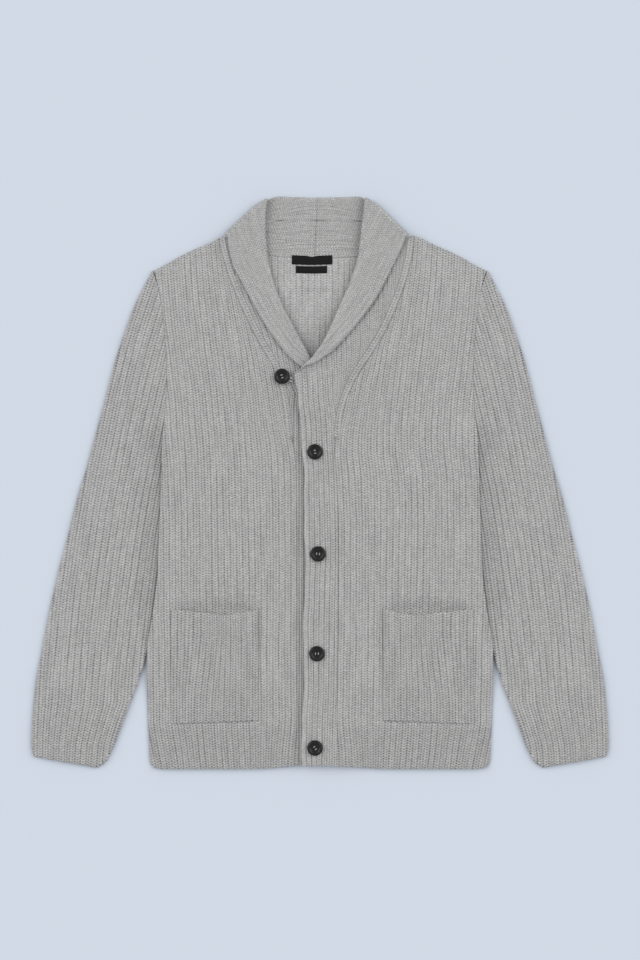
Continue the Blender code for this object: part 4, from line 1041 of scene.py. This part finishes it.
button = {
    "colour": "#060606",
    "cloud": "#2b2927",
    "roughness": 0.28,
    "cloudSize": 2.632,  # mm
    "scratchSize": 1.111,  # mm, far coarser than real polishing marks, so that they show
    "around": 72,
    "profile": (  # radius, height over the seat
        (0, 2.7), (5.3, 2.72), (6.2, 3.1), (6.9, 3.75), (7.6, 4.0), (8.4, 3.95), (9.3, 3.5), (10.0, 2.7),
        (10.2, 1.9), (9.9, 1.0), (8.9, 0.4), (7.4, 0.05), (0, 0)),
    "well": (0.8, 1.3, 1.7, 2.1, 2.5, 2.9, 3.3, 3.7, 4.1, 4.5, 5.0),  # radii of the rings round the holes
    "holeOffset": 1.85,  # of each hole from the middle, both ways
    "holeEdge": (1.15, 0.8),  # distances from a hole's middle where it starts, and is deep
    "holeDepth": 2.2,
    "thread": 0.36,  # radius
    "threadApart": 0.32,  # of the two threads in a pair of holes, from the line between those
    "threadRoute": (  # share of the way from hole to hole, height over the seat
        (0, 0.8), (0.18, 1.8), (0.34, 2.95), (0.66, 2.95), (0.82, 1.8), (1, 0.8)),
    "seat": 1.6,  # over the face of the cloth's wall
    "band": ((-6.6, 40.3), (-2.6, -93.7), (-4.0, -224.6), (-6.6, -348.4)),
    "turns": (0.2, 1.45, 1.6, 0.6),
    "top": (-49.9, 139.4),
    "topTurn": 0.3,
    "topRoom": 2.1,  # for the loop that goes under it
}


# Polyester cast like dyed horn and polished: nearly black, with faint brown clouds and a soft shine
def polishedHorn():
    material, tree, surface = newMaterial("polyesterButton")
    place = addNode(tree, "TexCoord")["Object"]
    cloud = addNode(tree, "TexNoise", {
        "Vector": place, "Scale": 1000 / button["cloudSize"], "Detail": 4.0, "Distortion": 1.5})[0]
    ramp = addNode(tree, "ValToRGB", (cloud,))[0]
    stops = ramp.node.color_ramp.elements
    stops[0].position, stops[0].color = 0.4, linear(button["colour"])
    stops[1].position, stops[1].color = 0.75, linear(button["cloud"])
    scratch = addNode(tree, "TexNoise", {
        "Vector": place, "Scale": 1000 / button["scratchSize"], "Detail": 3.0})[0]
    smoothest, roughest = button["roughness"] - 0.06, button["roughness"] + 0.14
    rough = addNode(tree, "MapRange", {0: scratch, 3: smoothest, 4: roughest})[0]
    bump = addNode(tree, "Bump", {"Height": scratch, "Strength": 0.08, "Distance": 0.0002})[0]
    connect(tree, surface, {
        "Base Color": ramp, "Roughness": rough, "Normal": bump, "IOR": 1.54, "Specular IOR Level": 0.3})
    return material


yarn = {
    "turn": 1.496,  # mm, one twist of the two plies
    "cotton": ("#505154", "#a9abae"),
    "wool": ("#8f8f8e", "#c6c6c5"),
}


# Two plies twisted together, matt: cotton thread and wool cord
def twistedYarn(name, dark, light):
    material, tree, surface = newMaterial(name)
    place = addNode(tree, "TexCoord")["Object"]
    scale = 2 * math.pi * 1000 / yarn["turn"] / 10  # a diagonal wave turns by 10 in a unit
    twist = addNode(tree, "TexWave", {"Vector": place, "Scale": scale, "Distortion": 1.0},
                    bands_direction="DIAGONAL")[0]
    shade = addNode(tree, "MapRange", {0: twist, 3: 0.75, 4: 1.1})[0]
    colour = addNode(tree, "Mix", {0: shade, 6: linear(dark), 7: linear(light)}, data_type="RGBA")[2]
    connect(tree, surface, {"Base Color": colour, "Roughness": 0.8})
    return material


horn = polishedHorn()
thread = twistedYarn("cottonThread", *yarn["cotton"])
woolCord = twistedYarn("woolCord", *yarn["wool"])


def newCurve(name, radius, detail):
    data = bpy.data.curves.new(name, "CURVE")
    data.dimensions = "3D"
    data.bevel_depth, data.bevel_resolution = radius * unit, detail
    return data


def addSpline(data, kind, route):
    spline = data.splines.new(kind)
    spline.points.add(len(route) - 1)
    for point, spot in zip(spline.points, route):
        point.co = (*(c * unit for c in spot), 1)
    return spline


def buttonDisc(name, centre, bottom, holes):
    around, profile = button["around"], np.array(button["profile"], float)
    well = (0, *button["well"])
    radii = [*well, *profile[1:-1, 0]]
    heights = [*np.interp(well, profile[:2, 0], profile[:2, 1]), *profile[1:-1, 1]]
    angles = np.arange(around) * 2 * math.pi / around
    rings = []
    for r, z in zip(radii[1:], heights[1:]):
        x, y = r * np.cos(angles), r * np.sin(angles)
        deep = sum(smooth(*button["holeEdge"], np.hypot(x - hx, y - hy)) for hx, hy in holes)
        deep = np.minimum(deep, 1) * (r in button["well"])
        rings.append(np.stack([x, y, z - button["holeDepth"] * deep], -1))
    points = np.array([(0, 0, heights[0]), *np.concatenate(rings), (0, 0, 0)]) + (*centre, bottom)
    faces = [[0, 1 + k, 1 + (k + 1) % around] for k in range(around)]
    for ring in range(len(rings) - 1):
        a, b = 1 + ring * around, 1 + (ring + 1) * around
        faces += [[a + k, b + k, b + (k + 1) % around, a + (k + 1) % around] for k in range(around)]
    end = 1 + (len(rings) - 1) * around
    faces += [[end + (k + 1) % around, end + k, len(points) - 1] for k in range(around)]
    mesh = bpy.data.meshes.new(name)
    mesh.from_pydata((points * unit).tolist(), [], faces)
    mesh.shade_smooth()
    return addObject(name, mesh, horn)


def makeButton(number, centre, bottom, turn):
    name = f"button{number}"
    reach = button["holeOffset"] * math.sqrt(2)
    holes = [(reach * math.cos(a), reach * math.sin(a))
             for a in (turn + math.pi / 4 + k * math.pi / 2 for k in range(4))]
    cardiganPiece(buttonDisc(name, centre, bottom, holes), f"button_{number}")
    strands = newCurve(name + "Thread", button["thread"], 3)
    for (ax, ay), (bx, by) in (holes[:2], holes[2:]):
        for apart in (-button["threadApart"], button["threadApart"]):
            route = []
            for t, z in button["threadRoute"]:
                x, y = (1 - t) * ax + t * bx, (1 - t) * ay + t * by
                away = 1 + apart / math.hypot(x, y)
                route.append((x * away + centre[0], y * away + centre[1], bottom + z))
            addSpline(strands, "POLY", route)
    sewn = addObject(name + "Thread", strands, thread)
    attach(sewn, "root")


seatHeight = cloth["halfWall"] + button["seat"]
for number, (spot, turn) in enumerate(zip(button["band"], button["turns"]), start=2):
    makeButton(number, spot, float(leftLevel(*spot)) + seatHeight, turn)
topSeat = float(rightLevel(*button["top"])) + seatHeight + button["topRoom"]
makeButton(1, button["top"], topSeat, button["topTurn"])
print("buttons ready")


# Loop that holds the top button

loop = {
    "radius": 0.9,
    "corner": (-33, 138),  # of the over band, which it comes from
    "gap": 0.3,
    "edgeDrop": 0.4,  # under the middle of the band's cloth
    "down": ((0, 0), (1.4, -1.5)),  # distance from the band's edge, height over where it leaves it
    "out": ((3.4, 1.2), (5.6, 0.2), (8, 0)),  # distance, height over its lowest part
    "strands": ((-2, 1.4), (-5.8, -3.6)),  # y of each: from the corner, and from the button at its end
    "bend": 2.8,
    "bendX": -1,
}


def makeLoop():
    x, y = button["top"]
    cornerX, cornerY = loop["corner"]
    low = float(rightLevel(x, y)) + seatHeight + loop["radius"]
    edgeX = cornerX - band["roll"] - loop["gap"] - loop["radius"]
    edgeZ = float(leftLevel(cornerX, cornerY)) - loop["edgeDrop"]
    course = [(away, edgeZ + up) for away, up in loop["down"]]
    course += [(away, low + up) for away, up in loop["out"]]

    def strand(fromCorner, fromButton):
        start, end = cornerY + fromCorner, y + fromButton
        return [(edgeX - away, start + (end - start) * i / 4, z) for i, (away, z) in enumerate(course)]

    upper, lower = loop["strands"]
    route = strand(*upper)
    for angle in np.linspace(0.5, 1.5, 9) * math.pi:
        outX, outY = loop["bend"] * math.cos(angle), loop["bend"] * math.sin(angle)
        route.append((x + loop["bendX"] + outX, y + outY, low))
    route += strand(*lower)[::-1]
    cord = newCurve("buttonLoop", loop["radius"], 4)
    cord.use_fill_caps = True
    cord.resolution_u = 4
    spline = addSpline(cord, "NURBS", route)
    spline.use_endpoint_u = True
    spline.order_u = 3
    cardiganPiece(addObject("buttonLoop", cord, woolCord), "button_loop")


makeLoop()
print("loop ready")


# Labels

labels = {
    "thickness": 0.5,
    "standOff": 0.65,  # of its middle over the back neck's wall
    "colour": "#060607",
    "shine": "#17181a",
    "row": 2.827,  # mm, one row of the weave, far coarser than the real one, so that it shows
    "speck": 0.4545,  # mm
    "main": ((-37.2, 16.1), (287.2, 299.3), 0.8, 1.6),  # x, y, bow, dip in the middle
    "size": ((-31.7, 9.2), (275.7, 285.2), 0.5, 0.0),
}


# Woven polyester satin: black, with a painted sheen along fine rows of yarn
def satinTape():
    material, tree, surface = newMaterial("wovenSatinTape")
    place = addNode(tree, "TexCoord")["Object"]
    scale = 2 * math.pi * 1000 / labels["row"] / 20  # an upright wave turns by 20 in a unit
    rows = addNode(tree, "TexWave", {"Vector": place, "Scale": scale, "Distortion": 0.3},
                   bands_direction="Y")[0]
    speck = addNode(tree, "TexNoise", {"Vector": place, "Scale": 1000 / labels["speck"]})[0]
    shade = addNode(tree, "Math", (rows, speck), operation="MULTIPLY")[0]
    colour = addNode(tree, "Mix", {0: shade, 6: linear(labels["colour"]), 7: linear(labels["shine"])},
                     data_type="RGBA")[2]
    bump = addNode(tree, "Bump", {"Height": rows, "Strength": 0.3, "Distance": 0.0001})[0]
    connect(tree, surface, {
        "Base Color": colour, "Normal": bump, "Roughness": 0.6, "Specular IOR Level": 0.2})
    return material


tape = satinTape()


def makeLabel(name, node, xRange, yRange, bow, dip):
    u, v = np.meshgrid(np.linspace(0, 1, 60), np.linspace(0, 1, 14))
    width, height = xRange[1] - xRange[0], yRange[1] - yRange[0]
    x = xRange[0] + width * u
    y = yRange[0] + height * v - bow * np.sin(np.pi * u) - dip * v * np.exp(-((u - 0.5) / 0.09) ** 2)
    seat = neck["backLevel"] + cloth["halfWall"] + labels["standOff"]
    z = seat + 0.35 * np.sin(np.pi * u) * (1 - v) + 0.25 * np.sin(np.pi * v)  # it lies a little loose
    half = labels["thickness"] / 2 * rounded(fromBorder(np.dstack([x, y])), 0.5)
    knit = np.zeros((*x.shape, 3))
    piece = clothObject(
        name, np.dstack([x, y, z + half]), np.dstack([x, y, z - half]), knit, knit, tape, thin=(3, 4))
    cardiganPiece(piece, node)


makeLabel("mainLabel", "label_main", *labels["main"])
makeLabel("sizeLabel", "label_size", *labels["size"])
print("labels ready")


# Floor, light and camera

studio = {
    "floor": "#d3dbe7",
    "floorHalf": 4,
    "grain": 1.4286,  # mm, of the paper
    "view": (0.845, 1.267),  # metres of the floor that the camera takes in
    "centre": (0.0, 0.0033),
    "cameraHeight": 2.8,
    "sensor": 36,
    "skyTint": (0.99, 0.995, 1.0, 1),
    "sky": 0.52,  # strength of the even light all round, and of each soft box
    "key": 1.08,
    "keyAngle": 50.0,  # degrees, apparent size of the soft box
    "keysFrom": ((-0.8, 0.35, 0.8), (0.8, 0.35, 0.8)),
}


# Seamless background paper: flat, pale and quite matt, with a faint grain
def backgroundPaper():
    material, tree, surface = newMaterial("backgroundPaper")
    place = addNode(tree, "TexCoord")["Object"]
    grain = addNode(tree, "TexNoise", {"Vector": place, "Scale": 1000 / studio["grain"], "Detail": 2.0})[0]
    bump = addNode(tree, "Bump", {"Height": grain, "Strength": 0.03, "Distance": 0.0002})[0]
    connect(tree, surface, {
        "Base Color": linear(studio["floor"]), "Normal": bump, "Roughness": 0.95, "Specular IOR Level": 0.1})
    return material


def makeFloor():
    mesh = bpy.data.meshes.new("floor")
    far = studio["floorHalf"]
    mesh.from_pydata([(-far, -far, 0), (far, -far, 0), (far, far, 0), (-far, far, 0)], [], [(0, 1, 2, 3)])
    addObject("floor", mesh, backgroundPaper())


def makeLights():
    world = bpy.data.worlds.new("softRoom")
    bpy.context.scene.world = world
    world.use_nodes = True
    connect(world.node_tree, world.node_tree.nodes["Background"], (studio["skyTint"], studio["sky"]))
    for k, source in enumerate(studio["keysFrom"]):
        lamp = bpy.data.lights.new(f"softBox{k}", "SUN")
        lamp.angle, lamp.energy = math.radians(studio["keyAngle"]), studio["key"]
        light = bpy.data.objects.new(f"softBox{k}", lamp)
        light.rotation_euler = Vector(source).to_track_quat("Z", "Y").to_euler()
        bpy.context.scene.collection.objects.link(light)


def makeCamera():
    lens = bpy.data.cameras.new("camera")
    lens.sensor_width = studio["sensor"]
    lens.lens = studio["sensor"] * studio["cameraHeight"] / studio["view"][1]
    camera = bpy.data.objects.new("camera", lens)
    camera.location = (*studio["centre"], studio["cameraHeight"])
    bpy.context.scene.collection.objects.link(camera)
    bpy.context.scene.camera = camera
    bpy.context.scene.view_settings.view_transform = "Standard"


makeFloor()
makeLights()
makeCamera()

print("scene ready")
